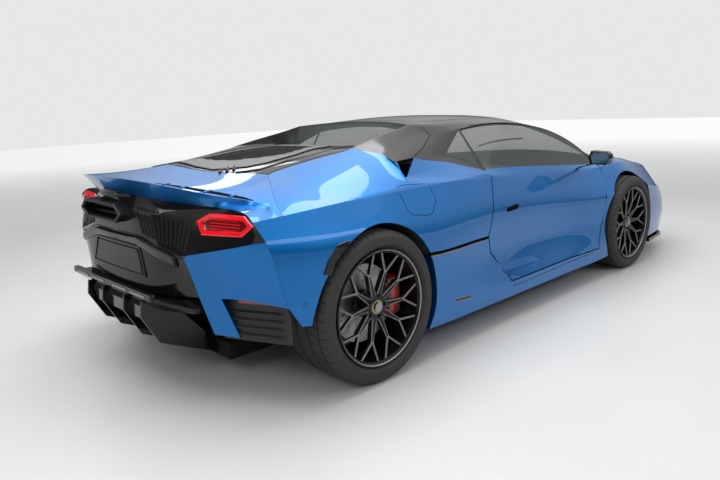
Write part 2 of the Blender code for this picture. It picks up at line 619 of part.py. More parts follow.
def build_panels():
    """Makes each panel from the skin: outer face, mitred edges, and an inner face one thickness in.

    A lid's inner face lies straight below its outer one, so that the lid lifts clear of its frame.
    """
    bm, tag = skin_mesh()
    bm.normal_update()
    for number, (name, (_, material_name, thickness, moves, flat, side)) in enumerate(panels.items()):
        faces = [f for f in bm.faces if f[tag] == number and f.calc_area() > 1e-8]
        uses, ways = {}, {}
        for face in faces:
            for edge in face.edges:
                uses[edge] = uses.get(edge, 0) + 1
        for face in faces:
            for loop in face.loops:
                if uses[loop.edge] == 1:
                    far = loop.link_loop_next.vert
                    way = face.normal.cross(far.co - loop.vert.co).normalized()
                    gap = edge_gap(loop.edge, tag, moves)
                    for vert in (loop.vert, far):
                        ways.setdefault(vert, []).append((way, gap))
        made = bmesh.new()
        outer_of, inner_of = {}, {}
        for vert in {v for f in faces for v in f.verts}:
            normal = sum((f.normal * loop_angle(f, vert) for f in vert.link_faces), Vector()).normalized()
            lean = max(min(normal.dot(f.normal) for f in vert.link_faces if f[tag] == number), 0.55)
            place = vert.co + (edge_shift(ways[vert]) if vert in ways else Vector())
            if flat is not None:
                back = DOOR_TAPER * (station(DOOR_HINGE[0]) - place.x) - DOOR_FRONT_INSET if moves else 0
                under = Vector((place.x + back, side * flat, place.z))
            elif moves == name:
                under = place - Vector((0, 0, thickness))
            else:
                under = place - normal * thickness / lean
            outer_of[vert] = made.verts.new(place)
            inner_of[vert] = made.verts.new(under)
        for face in faces:
            made.faces.new([outer_of[v] for v in face.verts])
            made.faces.new([inner_of[v] for v in reversed(face.verts)])
            for loop in face.loops:
                if uses[loop.edge] == 1:
                    a, b = loop.vert, loop.link_loop_next.vert
                    made.faces.new((outer_of[b], outer_of[a], inner_of[a], inner_of[b]))
        bmesh.ops.triangulate(made, faces=made.faces[:])
        add(name, made, material_name)
    bm.free()


def loop_angle(face, vert):
    """Angle of the face at this corner."""
    for loop in face.loops:
        if loop.vert == vert:
            return loop.calc_angle()
    return 0


def trim(piece, other, gap=SEAT):
    """Cuts a neighbour's shape out of the piece, larger by the gap."""
    cutter = bpy.data.objects.new("cutter", other.data.copy())
    car.objects.link(cutter)
    bm = bmesh.new()
    bm.from_mesh(cutter.data)
    bm.normal_update()
    for vert in bm.verts:
        vert.co += vert.normal * gap * min(vert.calc_shell_factor(), 2)
    bm.to_mesh(cutter.data)
    bm.free()
    boolean(piece, cutter, "DIFFERENCE")


def wheel_well(x, size, radius, side):
    """The cutter of a wheel arch."""
    centre = Vector((x, 0, size["tyre_r"]))
    return rod("well", centre + Vector((0, side * 0.5, 0)), centre + Vector((0, side * (HALF_WIDTH + 0.1), 0)), radius,
               segments=48)


def cut_arches():
    """Opens the wheel arches in the panels round them."""
    for side_name, side in SIDES.items():
        for name, x, size, radius in (("front_fender", FRONT_AXLE_X, FRONT_WHEEL, FRONT_ARCH_R),
                                      ("side_skirt", FRONT_AXLE_X, FRONT_WHEEL, FRONT_ARCH_R),
                                      ("side_skirt", REAR_AXLE_X, REAR_WHEEL, REAR_ARCH_R),
                                      ("rear_quarter", REAR_AXLE_X, REAR_WHEEL, REAR_ARCH_R)):
            cut(bpy.data.objects[f"{name}_{side_name}"], [wheel_well(x, size, radius, side)])


def grown(outline, depth, by):
    """A flat outline pushed outwards by this distance, and lengthened at both ends of its depth."""
    outline = [Vector(p) for p in outline]
    way = Vector(depth).normalized()
    centre = sum(outline, Vector()) / len(outline)
    out = []
    for before, here, after in zip(outline[-1:] + outline[:-1], outline, outline[1:] + outline[:1]):
        normals = []
        for a, b in ((before, here), (here, after)):
            normal = way.cross(b - a).normalized()
            normals.append(normal if normal.dot(a - centre) > 0 else -normal)
        bisector = (normals[0] + normals[1]).normalized()
        out.append(here + bisector * by / bisector.dot(normals[0]))
    return out


def inset_piece(name, panel_name, outline, depth, material_name):
    """A piece let into a panel: the panel's own surface inside an outline, with a fine gap round it."""
    host = bpy.data.objects[panel_name]
    piece = bpy.data.objects.new(name, host.data.copy())
    car.objects.link(piece)
    boolean(piece, prism("inside", outline, depth), "INTERSECT")
    cut(host, [prism("outside", grown(outline, depth, SEAT), depth)])
    piece.data.materials.clear()
    piece.data.materials.append(look(material_name))
    return piece


# Outlines of the lamps and of the exhaust, on the left, as drawn stations
TAIL_LAMP = [(-0.80, 0.548, 0.832), (-0.80, 0.605, 0.866), (-0.80, 0.820, 0.868), (-0.80, 0.872, 0.832),
             (-0.80, 0.820, 0.786), (-0.80, 0.605, 0.780)]
HEAD_LAMP = [(3.25, 0.735, 0.50), (3.30, 0.640, 0.50), (3.50, 0.530, 0.50), (3.52, 0.600, 0.50), (3.42, 0.690, 0.50)]
EXHAUST = [(-0.850, 0.225, 0.857), (-0.850, 0.165, 0.815), (-0.850, -0.165, 0.815), (-0.850, -0.225, 0.857),
           (-0.850, -0.165, 0.903), (-0.850, 0.165, 0.903)]
# Scoop at the foot of the door: three points clear of the door's face, and the floor of the scoop under them
SCOOP_MOUTH = [(0.96, 1.03, 0.374), (1.06, 1.03, 0.278), (1.76, 1.03, 0.297)]
SCOOP_FLOOR = [(0.96, 0.896, 0.370), (1.06, 0.908, 0.284), (1.76, 0.940, 0.297)]
# Intakes in the nose, seen from the front
INTAKE = [(3.30, 0.370, 0.190), (3.30, 0.770, 0.205), (3.30, 0.800, 0.300), (3.30, 0.745, 0.405), (3.30, 0.600, 0.432),
          (3.30, 0.430, 0.330)]
INTAKE_CENTRE = [(3.30, -0.310, 0.180), (3.30, 0.310, 0.180), (3.30, 0.370, 0.260), (3.30, -0.370, 0.260)]
# Top and underside of the diffuser's shelf, from its lip forward, and the side outlines of its pan and its strakes
SHELF = [(-0.845, 0.430, 0.508), (-0.845, 0.430, 0.495), (-0.720, 0.572, 0.462), (-0.720, 0.572, 0.440),
         (-0.600, 0.560, 0.470), (-0.600, 0.560, 0.430), (-0.790, 0.400, 0.440)]
SHELF_LIP = [(-0.852, 0.500), (-0.852, 0.527), (-0.828, 0.527), (-0.828, 0.500)]
PAN = [(-0.800, 0.500), (-0.825, 0.440), (-0.810, 0.370), (-0.4803, 0.160), (-0.4803, 0.195), (-0.740, 0.400), (-0.740, 0.480)]
STRAKE = [(-0.835, 0.470), (-0.845, 0.400), (-0.770, 0.260), (-0.640, 0.200), (-0.4803, 0.130), (-0.4803, 0.180), (-0.700, 0.440)]
STRAKES = (0.120, 0.300)
SPLITTER = [(3.12, 0.915), (3.42, 0.880), (3.58, 0.760), (3.68, 0.560), (3.735, 0.280), (3.750, 0)]

COVER_STAY = [(0.66, 0.81), (0.66, 0.84), (0.525, 1.030), (0.508, 1.050), (0.465, 1.050), (0.475, 1.02), (0.62, 0.81)]
BONNET_STAY = [(2.70, 0.68), (2.80, 0.68), (2.82, 0.812), (2.78, 0.818)]


# Panels that are cut back from a neighbour where their edges run into it at a sharp angle
TRIMS = [("tail_deck", "rear_quarter_left"), ("tail_deck", "rear_quarter_right"), ("rear_bumper", "tail_deck"),
         ("rear_bumper", "rear_quarter_left"), ("rear_bumper", "rear_quarter_right"),
         ("rear_corner_left", "rear_quarter_left"), ("rear_corner_right", "rear_quarter_right"),
         ("rear_corner_left", "rear_bumper"), ("rear_corner_right", "rear_bumper"),
         ("rear_pillar_left", "rear_quarter_left"), ("rear_pillar_right", "rear_quarter_right"),
         ("rear_pillar_left", "roof"), ("rear_pillar_right", "roof"), ("windscreen", "roof"),
         ("rear_screen", "rear_pillar_left"), ("rear_screen", "rear_pillar_right"),
         ("front_fender_left", "roof"), ("front_fender_right", "roof"),
         ("door_left", "door_glass_left"), ("door_right", "door_glass_right"),
         ("front_bumper", "front_fender_left"), ("front_bumper", "front_fender_right")]
SHUT_TRIMS = [("front_bumper", "bonnet")]


def body_fittings():
    """Lamps, exhaust, diffuser and splitter."""
    for name, neighbour in TRIMS:
        trim(bpy.data.objects[name], bpy.data.objects[neighbour])
    for name, neighbour in SHUT_TRIMS:
        trim(bpy.data.objects[name], bpy.data.objects[neighbour], SHUT_GAP)
    for side_name, side in SIDES.items():
        tail = [Vector((p.x, p.y * side, p.z)) for p in drawn(TAIL_LAMP)]
        inset_piece(f"tail_lamp_{side_name}", "rear_bumper", tail, (0.35, 0, 0), "tail_lamp_red")
        head = [Vector((p.x, p.y * side, p.z)) for p in drawn(HEAD_LAMP)]
        inset_piece(f"head_lamp_{side_name}", "front_bumper", head, (0, 0, 0.40), "head_lamp_clear")
    depth = (0.20, 0, 0)
    mouth = drawn(EXHAUST)
    pipe = prism("exhaust", mouth, depth, "bare_steel")
    cut(pipe, [prism("bore", grown(mouth, depth, -0.014), (0.185, 0, 0))])
    cut(bpy.data.objects["rear_bumper"], [prism("hole", grown(mouth, depth, SEAT), (0.25, 0, 0))])
    for side_name, side in SIDES.items():
        scoop = [Vector((p.x, p.y * side, p.z)) for p in drawn(SCOOP_MOUTH + SCOOP_FLOOR)]
        cut(bpy.data.objects[f"door_{side_name}"], [hull("scoop", scoop)])
        intake = [Vector((p.x, p.y * side, p.z)) for p in drawn(INTAKE)]
        inset_piece(f"front_intake_{side_name}", "front_bumper", intake, (0.55, 0, 0), "gloss_black")
    inset_piece("front_intake_centre", "front_bumper", drawn(INTAKE_CENTRE), (0.55, 0, 0), "gloss_black")
    pieces = [hull("shelf", drawn(SHELF) + mirrored(drawn(SHELF)), "gloss_black"),
              prism("lip", drawn([(x, -0.43, z) for x, z in SHELF_LIP]), (0, 0.86, 0), "gloss_black"),
              prism("pan", drawn([(x, -0.27, z) for x, z in PAN]), (0, 0.54, 0), "gloss_black")]
    for y in [side * y for y in STRAKES for side in SIDES.values()]:
        pieces.append(prism("strake", drawn([(x, y - 0.006, z) for x, z in STRAKE]), (0, 0.012, 0), "gloss_black"))
    join("diffuser", pieces)
    edge = drawn([(x, y, SPLITTER_LOW) for x, y in SPLITTER])
    prism("front_splitter", edge + mirrored(edge)[-2::-1], (0, 0, SPLITTER_TOP - SPLITTER_LOW), "gloss_black")


def mirrors():
    """Door mirrors on their arms."""
    for side_name, side in SIDES.items():
        housing = prism("housing", [Vector((p.x, p.y * side, p.z)) for p in drawn([
            (1.95, 0.985, 0.835), (1.95, 1.100, 0.830), (1.95, 1.123, 0.870), (1.95, 1.105, 0.925),
            (1.95, 0.985, 0.930), (1.95, 0.965, 0.880)])], (0.11, 0, 0), "gloss_black")
        foot = side_point(2.12, 3.45)
        foot = Vector((foot.x, (foot.y - 0.012) * side, foot.z))
        arm = rod("arm", foot, (station(2.0), side * (HALF_WIDTH + 0.032), 0.87), 0.011, "gloss_black", 8)
        trim(join(f"mirror_{side_name}", [housing, arm]), bpy.data.objects[f"door_{side_name}"])


def tyre_profile(size):
    """Closed cross-section of a tyre, as (radius, across) points."""
    seat = size["flange_r"] - 0.014 + SEAT
    bead = size["rim_w"] / 2 - 0.010 - SEAT
    half = size["tyre_w"] / 2
    radius = size["tyre_r"]
    upper = [(seat, bead), (size["flange_r"] + 0.003, bead), (radius - 0.052, half), (radius - 0.016, half - 0.010),
             (radius, half - 0.035)]
    return [(r, -y) for r, y in upper] + [(r, y) for r, y in reversed(upper)]


def rim_profile(size):
    """Closed cross-section of the wheel's barrel, with positive across outboard."""
    flange = size["flange_r"]
    half = size["rim_w"] / 2
    seat = flange - 0.014
    return [(flange, -half), (flange, -half + 0.010), (seat, -half + 0.010), (seat, half - 0.010),
            (flange, half - 0.010), (flange, half), (flange - 0.010, half), (seat - 0.010, half - 0.022),
            (seat - 0.010, -half + 0.008), (flange - 0.008, -half)]


def turned(name, profile, centre, material_name, steps=WHEEL_STEPS):
    """A ring turned about the Y axis from a closed profile of (radius, across) points."""
    bm = bmesh.new()
    verts = [bm.verts.new((0, y, -r)) for r, y in profile]
    for a, b in zip(verts, verts[1:] + verts[:1]):
        bm.edges.new((a, b))
    bmesh.ops.spin(bm, geom=bm.verts[:] + bm.edges[:], cent=(0, 0, 0), axis=(0, 1, 0),
                   angle=2 * math.pi, steps=steps, use_merge=True)
    bmesh.ops.remove_doubles(bm, verts=bm.verts[:], dist=0.00005)
    bmesh.ops.recalc_face_normals(bm, faces=bm.faces[:])
    bmesh.ops.translate(bm, vec=centre, verts=bm.verts[:])
    return add(name, bm, material_name)


def wheel(name, size, centre, side):
    """A wheel: barrel, forked spokes and hub, with its brake disc bolted on behind."""
    pieces = [turned("barrel", [(r, y * side) for r, y in rim_profile(size)], centre, "black_alloy")]
    face = size["rim_w"] / 2 - 0.030
    reach = size["flange_r"] - 0.020
    pieces.append(rod("hub", centre + Vector((0, side * 0.010, 0)), centre + Vector((0, side * face, 0)),
                      HUB_R, "black_alloy", 20))
    pieces.append(rod("disc", centre - Vector((0, side * DISC_HALF, 0)), centre + Vector((0, side * DISC_HALF, 0)),
                      DISC_R, "bare_steel", WHEEL_STEPS))
    for k in range(SPOKES):
        outline = []
        for radius, turn in Y_SPOKE:
            angle = 2 * math.pi * (k + turn) / SPOKES
            outline.append(centre + Vector((math.cos(angle), 0, math.sin(angle))) * reach * radius
                           + Vector((0, side * (face - 0.016), 0)))
        pieces.append(prism("spoke", outline, (0, side * 0.020, 0), "black_alloy"))
    return join(name, pieces)


def upright(size, centre, side, ahead):
    """Overlapping pieces of an upright with its stub axle and brake caliper."""
    inside = side * -1
    stub = rod("stub", centre + Vector((0, inside * 0.10, 0)), centre + Vector((0, inside * (DISC_HALF + SEAT), 0)),
               0.045, "bare_steel", 16)
    post = box("post", centre + Vector((-0.035, inside * 0.090, -0.13)), centre + Vector((0.035, inside * 0.045, 0.13)))
    arm = box("arm", centre + Vector((0, inside * 0.075, -0.03)), centre + Vector((ahead * 0.16, inside * 0.05, 0.03)))
    caliper = box("caliper", centre + Vector((ahead * 0.140, inside * 0.080, -0.09)),
                  centre + Vector((ahead * 0.222, side * 0.045, 0.09)), "caliper_red")
    slot = rod("slot", centre + Vector((0, inside * (DISC_HALF + 0.004), 0)),
               centre + Vector((0, side * (DISC_HALF + 0.004), 0)), DISC_R + 0.004, segments=WHEEL_STEPS)
    return [cut(caliper, [slot]), arm, post, stub]


def running_gear():
    """Tyres, wheels, front knuckles, and the front and rear suspension."""
    for place, size, x in (("front", FRONT_WHEEL, FRONT_AXLE_X), ("rear", REAR_WHEEL, REAR_AXLE_X)):
        for side_name, side in SIDES.items():
            centre = Vector((x, side * size["half_track"], size["tyre_r"]))
            turned(f"tyre_{place}_{side_name}", tyre_profile(size), centre, "tyre_rubber")
            wheel(f"wheel_{place}_{side_name}", size, centre, side)
    front, rear = [], []
    for side_name, side in SIDES.items():
        centre = Vector((FRONT_AXLE_X, side * FRONT_WHEEL["half_track"], FRONT_WHEEL["tyre_r"]))
        join(f"knuckle_front_{side_name}", upright(FRONT_WHEEL, centre, side, -1))
        pin = side * (FRONT_WHEEL["half_track"] - 0.0675)
        for height, flat in ((centre.z - 0.13 - SEAT, -1), (centre.z + 0.13 + SEAT, 1)):
            front.append(box("wishbone", (FRONT_AXLE_X - 0.03, side * 0.38, height),
                             (FRONT_AXLE_X + 0.03, pin + side * 0.02, height + flat * 0.02)))
        centre = Vector((REAR_AXLE_X, side * REAR_WHEEL["half_track"], REAR_WHEEL["tyre_r"]))
        rear += upright(REAR_WHEEL, centre, side, 1)
        rear.append(box("lower_arm", (REAR_AXLE_X - 0.03, side * 0.38, 0.24),
                        (REAR_AXLE_X + 0.03, centre.y - side * 0.065, 0.27)))
    front.append(box("beam", (FRONT_AXLE_X - 0.06, -0.40, NOSE_FRAME_TOP + SEAT), (FRONT_AXLE_X + 0.06, 0.40, 0.50)))
    rear.append(box("beam", (REAR_AXLE_X - 0.05, -0.40, TAIL_FRAME_TOP + SEAT), (REAR_AXLE_X + 0.05, 0.40, 0.30)))
    join("front_suspension", front[::-1])
    join("rear_suspension", rear[::-1])


def hinge_stays():
    """The stays under the hinges of the two lids, which reach a little into each lid until they are trimmed to it."""
    stays = []
    for side in SIDES.values():
        for outline, y in ((COVER_STAY, 0.27), (BONNET_STAY, 0.50)):
            stays.append(prism("stay", drawn([(x, side * y - 0.015, z) for x, z in outline]), (0, 0.03, 0)))
    return stays


def structure():
    """Floor tray with its bulkheads and end frames, and the engine block on it."""
    floor_half = SKIRT_INNER - SEAT
    join("floor_tub", [
        box("floor", (station(0.55), -floor_half, FLOOR_LOW), (station(2.20), floor_half, FLOOR_HIGH)),
        box("nose_frame", (station(2.15), -0.42, SPLITTER_TOP + SEAT), (station(3.60), 0.42, NOSE_FRAME_TOP)),
        box("tail_frame", (station(-0.48), -0.42, FLOOR_LOW), (station(0.60), 0.42, TAIL_FRAME_TOP)),
        box("rear_bulkhead", (station(0.62), 0.06 - DOOR_INNER, FLOOR_LOW), (station(0.66), DOOR_INNER - 0.06, 0.84)),
        box("front_bulkhead", (station(2.12), SEAT - DOOR_INNER, 0.27), (station(2.16), DOOR_INNER - SEAT, 0.62)),
        box("dash_wall", (station(2.12), 0.10 - DOOR_INNER, FLOOR_LOW), (station(2.16), DOOR_INNER - 0.10, 0.70)),
        box("cowl", (station(2.13), 0.17 - DOOR_INNER, 0.66), (station(2.80), DOOR_INNER - 0.17, 0.70)),
        box("tunnel", (station(0.64), -0.11, FLOOR_LOW), (station(2.14), 0.11, 0.34)),
    ] + hinge_stays())
    for lid in ("bonnet", "engine_cover"):
        trim(bpy.data.objects["floor_tub"], bpy.data.objects[lid])
    block = box("engine_block", (station(-0.47), -0.30, TAIL_FRAME_TOP + SEAT), (station(0.60), 0.30, 0.80))
    cut(block, [box("over_beam", (REAR_AXLE_X - 0.055, -0.45, 0.19), (REAR_AXLE_X + 0.055, 0.45, 0.32))])


def cabin():
    """Seats, dashboard and steering wheel."""
    for side_name, side in SIDES.items():
        middle = side * 0.36
        cushion = box("cushion", (station(1.15), middle - 0.22, FLOOR_HIGH + SEAT), (station(1.68), middle + 0.22, 0.34),
                      "cabin_leather")
        back = [Vector((station(x), middle - 0.21, z)) for x, z in ((1.10, 0.25), (1.28, 0.25), (0.92, 0.95), (0.80, 0.93))]
        back = prism("back", back, (0, 0.42, 0), "cabin_leather")
        join(f"seat_{side_name}", [cushion, back])
    centre = drawn([STEERING_CENTRE])[0]
    down = Vector((math.cos(COLUMN_SLOPE), 0, -math.sin(COLUMN_SLOPE)))
    up = Vector((math.sin(COLUMN_SLOPE), 0, math.cos(COLUMN_SLOPE)))
    face = centre + down * COLUMN_REACH
    low, high = drawn([(2.12 - SEAT, 0, 0.50), (2.12 - SEAT, 0, 0.76)])
    brow, half = face + up * 0.15, DOOR_INNER - 0.12
    outline = [low, high, high.lerp(brow, 0.6) + Vector((0, 0, 0.022)), brow, face - up * 0.08]
    prism("dashboard", [Vector((p.x, -half, p.z)) for p in outline], (0, 2 * half, 0), "cabin_leather")
    ring = turned("ring", [(0.165, -0.012), (0.165, 0.012), (0.188, 0.012), (0.188, -0.012)], (0, 0, 0), "cabin_leather", 24)
    spoke = box("spoke", (-0.012, -0.012, -0.17), (0.012, 0.012, 0.17), "cabin_leather")
    bar = box("bar", (-0.17, -0.012, -0.014), (0.17, 0.012, 0.014), "cabin_leather")
    column = rod("column", (0, -0.012, 0), (0, COLUMN_REACH - SEAT, 0), 0.028, "cabin_leather")
    rim = join("steering_wheel", [ring, spoke, bar, column])
    rim.data.transform(Matrix.Translation(centre) @ Matrix.Rotation(COLUMN_SLOPE, 4, "Y")
                       @ Matrix.Rotation(math.radians(-90), 4, "Z"))


lay_out_panels()
build_panels()
cut_arches()
body_fittings()
mirrors()
running_gear()
structure()
cabin()
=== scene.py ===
import json
import math

import bmesh
import bpy
from mathutils import Matrix, Vector
from mathutils.bvhtree import BVHTree


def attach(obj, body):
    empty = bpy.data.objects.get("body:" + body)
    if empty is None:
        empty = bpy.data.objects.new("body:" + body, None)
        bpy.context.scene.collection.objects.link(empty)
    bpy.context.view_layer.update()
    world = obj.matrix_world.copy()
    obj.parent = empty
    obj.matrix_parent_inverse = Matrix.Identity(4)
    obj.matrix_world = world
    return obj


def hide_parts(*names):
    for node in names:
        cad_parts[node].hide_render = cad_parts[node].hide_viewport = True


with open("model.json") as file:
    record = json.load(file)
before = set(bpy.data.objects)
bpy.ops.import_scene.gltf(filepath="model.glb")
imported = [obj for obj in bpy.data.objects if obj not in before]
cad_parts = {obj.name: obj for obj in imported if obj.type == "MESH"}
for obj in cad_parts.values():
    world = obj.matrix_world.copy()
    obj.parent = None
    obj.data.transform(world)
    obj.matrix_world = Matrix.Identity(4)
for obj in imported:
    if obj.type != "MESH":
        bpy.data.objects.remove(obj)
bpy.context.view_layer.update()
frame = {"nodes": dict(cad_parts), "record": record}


# The room: a pale floor that fades into a pale distance, soft ceiling lights, and the camera that was solved
# from the photograph, behind the right rear wheel and at chest height.


class Link:
    """A socket of a finish. Adding to it or multiplying it adds a Math node."""

    def __init__(self, tree, socket=None):
        self.tree, self.socket = tree, socket

    def node(self, kind, settings=None, inputs=None, out=0):
        """Adds a node with these settings and these values or links, and gives the Link of one output."""
        made = self.tree.nodes.new(kind)
        for key, value in (settings or {}).items():
            if key == "stops":
                ramp = made.color_ramp
                while len(ramp.elements) < len(value):
                    ramp.elements.new(0.5)
                for element, (position, color) in zip(ramp.elements, value):
                    element.position = position
                    element.color = color if isinstance(color, tuple) else (color, color, color, 1)
            else:
                setattr(made, key, value)
        for key, value in (inputs or {}).items():
            if isinstance(value, Link):
                self.tree.links.new(value.socket, made.inputs[key])
            else:
                made.inputs[key].default_value = value
        return Link(self.tree, made.outputs[out])

    def maths(self, operation, other):
        """The Link of a Math node on this socket and another value or Link."""
        return self.node("ShaderNodeMath", {"operation": operation}, {0: self, 1: other})

    def __add__(self, other):
        return self.maths("ADD", other)

    def __mul__(self, other):
        return self.maths("MULTIPLY", other)

    __radd__ = __add__

    def mix(self, first, second):
        """A colour between two, by this factor."""
        colors = [c if isinstance(c, Link) else (*c, 1) for c in (first, second)]
        return self.node("ShaderNodeMix", {"data_type": "RGBA"}, {0: self, 6: colors[0], 7: colors[1]}, out=2)


def finish(name):
    """A new empty finish: its material, the Link that starts its nodes, and its shader's inputs."""
    made = bpy.data.materials.new(name)
    made.use_nodes = True
    shader = made.node_tree.nodes["Principled BSDF"]
    return made, Link(made.node_tree), shader.inputs


def wire(inputs, name, value):
    """Sets a shader input to a number or a colour, or links it to what a Link carries."""
    if isinstance(value, Link):
        value.tree.links.new(value.socket, inputs[name])
    else:
        inputs[name].default_value = value


def noise(start, scale, detail=2.0, roughness=0.5):
    """Cloudy values from 0 to 1 over an object, at this many per metre."""
    place = start.node("ShaderNodeTexCoord", out="Object")
    return start.node("ShaderNodeTexNoise", None, {"Vector": place, "Scale": scale, "Detail": detail,
                                                  "Roughness": roughness})


def bump(start, height, distance, strength=1.0):
    """Dents and bumps for a Normal input, this many metres high."""
    return start.node("ShaderNodeBump", None, {"Height": height, "Distance": distance, "Strength": strength})


floor_finish, start, inputs = finish("studio_floor")
cloud = noise(start, 1.3, 3)
wire(inputs, "Base Color", cloud.mix((0.50, 0.50, 0.49), (0.55, 0.55, 0.54)))
wire(inputs, "Roughness", 0.34 + cloud * 0.1)
# Beyond 5 m the floor glows more with distance: painted light that brightens its far part so that it fades
# into the pale distance.
far = start.node("ShaderNodeVectorMath", {"operation": "LENGTH"},
                 {0: start.node("ShaderNodeTexCoord", out="Object")}, 1)
wire(inputs, "Emission Color", start.node("ShaderNodeMapRange", None, {0: far, 1: 5.0, 2: 16.0, 4: 0.52}).mix(
    (0, 0, 0), (1, 1, 1)))
wire(inputs, "Emission Strength", 1.0)
bpy.ops.object.select_all(action="DESELECT")
bpy.ops.mesh.primitive_plane_add(size=60, location=(0, 0, 0))
floor = bpy.context.object
floor.name = "studio_floor"
floor.data.materials.append(floor_finish)

world = bpy.data.worlds.new("studio")
bpy.context.scene.world = world
world.use_nodes = True
sky = Link(world.node_tree)
seen, mirrored_ray, through = [sky.node("ShaderNodeLightPath", out=f"Is {n} Ray")
                               for n in ("Camera", "Glossy",
                                      "Transmission")]
ahead, height = [sky.node("ShaderNodeSeparateXYZ", None, {0: sky.node("ShaderNodeTexCoord", out="Generated")},
                          out=n)
                 for n in (0, 2)]
windows = sky.node("ShaderNodeMapRange", None, {0: ahead, 1: 0.15, 2: 0.55, 4: 0.55})
windows *= sky.node("ShaderNodeMapRange", None, {0: height, 1: 0.03, 2: 0.20})
curtain = sky.node("ShaderNodeValToRGB", {"stops": [(0.0, 0.10), (0.20, 0.045), (0.55, 0.10), (1.0, 0.34)]},
                   {0: height})
level = world.node_tree.nodes["Background"].inputs
around = mirrored_ray.mix((0.50, 0.51, 0.53), curtain + windows)
wire(level, "Color", seen.node("ShaderNodeMath", {"operation": "MAXIMUM"}, {0: seen, 1: through}).mix(
    around, (0.80, 0.80, 0.80)))

for name, kind, place, turn, size, power in (
        ("ceiling", "AREA", (-1.2, 0, 4.6), (0, 0, 0), (6.5, 3.4), 260),
        ("rear_soft", "AREA", (-5.5, -3.0, 3.4), (58, 0, -60), (3.0, 1.2), 60),
        ("side_strip", "AREA", (1.5, -6.0, 3.6), (58, 0, 0), (6, 0.9), 70),
        ("far_strip", "AREA", (0.5, 6.5, 4.8), (-52, 0, 0), (6, 0.9), 60),
        ("room", "SUN", (0, 0, 8), (0, 0, 0), (0, 0), 0.9)):
    lamp = bpy.data.lights.new(name, kind)
    lamp.energy = power
    if kind == "AREA":
        lamp.shape, lamp.size, lamp.size_y = "RECTANGLE", size[0], size[1]
    else:
        lamp.angle = math.radians(120)
    holder = bpy.data.objects.new(name, lamp)
    bpy.context.scene.collection.objects.link(holder)
    holder.location = place
    holder.rotation_euler = [math.radians(a) for a in turn]

SENSOR_MM, LENS_MM = 36, 31.649
CAMERA_PLACE = (-3.4443, -2.9382, 1.2769)
CAMERA_TURN = ((0.720105, 0.175128, -0.671401), (-0.692433, 0.119229, -0.711563),
               (-0.044564, 0.9773, 0.207121))
view = bpy.data.cameras.new("camera")
view.sensor_width, view.lens = SENSOR_MM, LENS_MM
camera = bpy.data.objects.new("camera", view)
bpy.context.scene.collection.objects.link(camera)
camera.matrix_world = Matrix.Translation(CAMERA_PLACE) @ Matrix(CAMERA_TURN).to_4x4()
bpy.context.scene.camera = camera
bpy.context.scene.view_settings.view_transform = "Standard"

# The body's skin: painted composite and metal panels. One cage of point rows, the same as the solids are
# made from, is subdivided as a whole, so that reflections run on from panel to panel over the shut lines.

WHEELBASE = 2.658
REAR_OVERHANG = 0.880
FRONT_OVERHANG = 1.168
HALF_WIDTH = 0.998
LENGTH = REAR_OVERHANG + WHEELBASE + FRONT_OVERHANG
REAR_AXLE_X = REAR_OVERHANG - LENGTH / 2
FRONT_AXLE_X = REAR_AXLE_X + WHEELBASE

FRONT_WHEEL = {"tyre_r": 0.343, "tyre_w": 0.255, "flange_r": 0.266, "half_track": 0.861, "rim_w": 0.238}
REAR_WHEEL = {"tyre_r": 0.364, "tyre_w": 0.310, "flange_r": 0.279, "half_track": 0.835, "rim_w": 0.292}

FRONT_ARCH_R = 0.378
REAR_ARCH_R = 0.394

SKIN = 0.012
DECK = 0.008
LIP = 0.005
GLASS = 0.005
SEAM = 0.0006
SHUT_GAP = 0.0072
DOOR_INNER = HALF_WIDTH - 0.238
DOOR_TAPER = 0.03
DOOR_FRONT_INSET = 0.022
DOOR_HINGE = (2.39, 0.966, 0.50)

SKIRT_INNER = 0.80
SIDES = {"left": 1, "right": -1}


def station(x, rear=0.880, base=2.658, front=1.103, near=0.45):
    """World X of a point drawn x metres ahead of the rear axle.

    The defaults are the overhangs and the wheelbase of the drawing. The body near each axle keeps
    its length, and only the cabin between stretches with the wheelbase.
    """
    if x < 0:
        return REAR_AXLE_X + x * REAR_OVERHANG / rear
    if x > base:
        return FRONT_AXLE_X + (x - base) * FRONT_OVERHANG / front
    if x < near:
        return REAR_AXLE_X + x
    if x > base - near:
        return FRONT_AXLE_X + x - base
    return REAR_AXLE_X + near + (x - near) * (WHEELBASE - 2 * near) / (base - 2 * near)


def drawn(points, half=0.998):
    """World points of a list of (metres ahead of the rear axle, y, z), drawn with this half width."""
    return [Vector((station(x), y * HALF_WIDTH / half, z)) for x, y, z in points]


def spline(points, count, sharp=()):
    """Points along a smooth curve through the control points, with corners at those numbered in sharp."""
    points = [Vector(p) for p in points]
    last = len(points) - 1
    out = []
    for i in range(count):
        t = i * last / (count - 1)
        k = min(int(t + 1e-9), last - 1)
        f = t - k
        a, b = points[k], points[k + 1]
        before = b - a if k == 0 or k in sharp else (b - points[k - 1]) / 2
        after = b - a if k + 1 == last or k + 1 in sharp else (points[k + 2] - a) / 2
        out.append((2 * f**3 - 3 * f**2 + 1) * a + (f**3 - 2 * f**2 + f) * before
                   + (3 * f**2 - 2 * f**3) * b + (f**3 - f**2) * after)
    return out


def loft(lines, across):
    """A grid over lines of points of the same length, with this number of rows."""
    columns = [spline(points, across) for points in zip(*lines)]
    return [list(row) for row in zip(*columns)]


def ruled(first, second, across):
    """A grid that runs straight from one line of points to another."""
    return [[a.lerp(b, j / (across - 1)) for a, b in zip(first, second)] for j in range(across)]


def mirrored(points):
    """The same points on the other side of the car."""
    return [Vector((p[0], -p[1], p[2])) for p in points]


def both_sides(grids):
    """Grids of the left half, facing out, with their mirror images."""
    grids = [outward(grid) for grid in grids]
    return grids + [[mirrored(row)[::-1] for row in grid] for grid in grids]


def whole(half):
    """A line of 13 points over the whole width from its left half, given from the left to the middle."""
    half = spline(half, 7)
    return half + mirrored(half)[-2::-1]


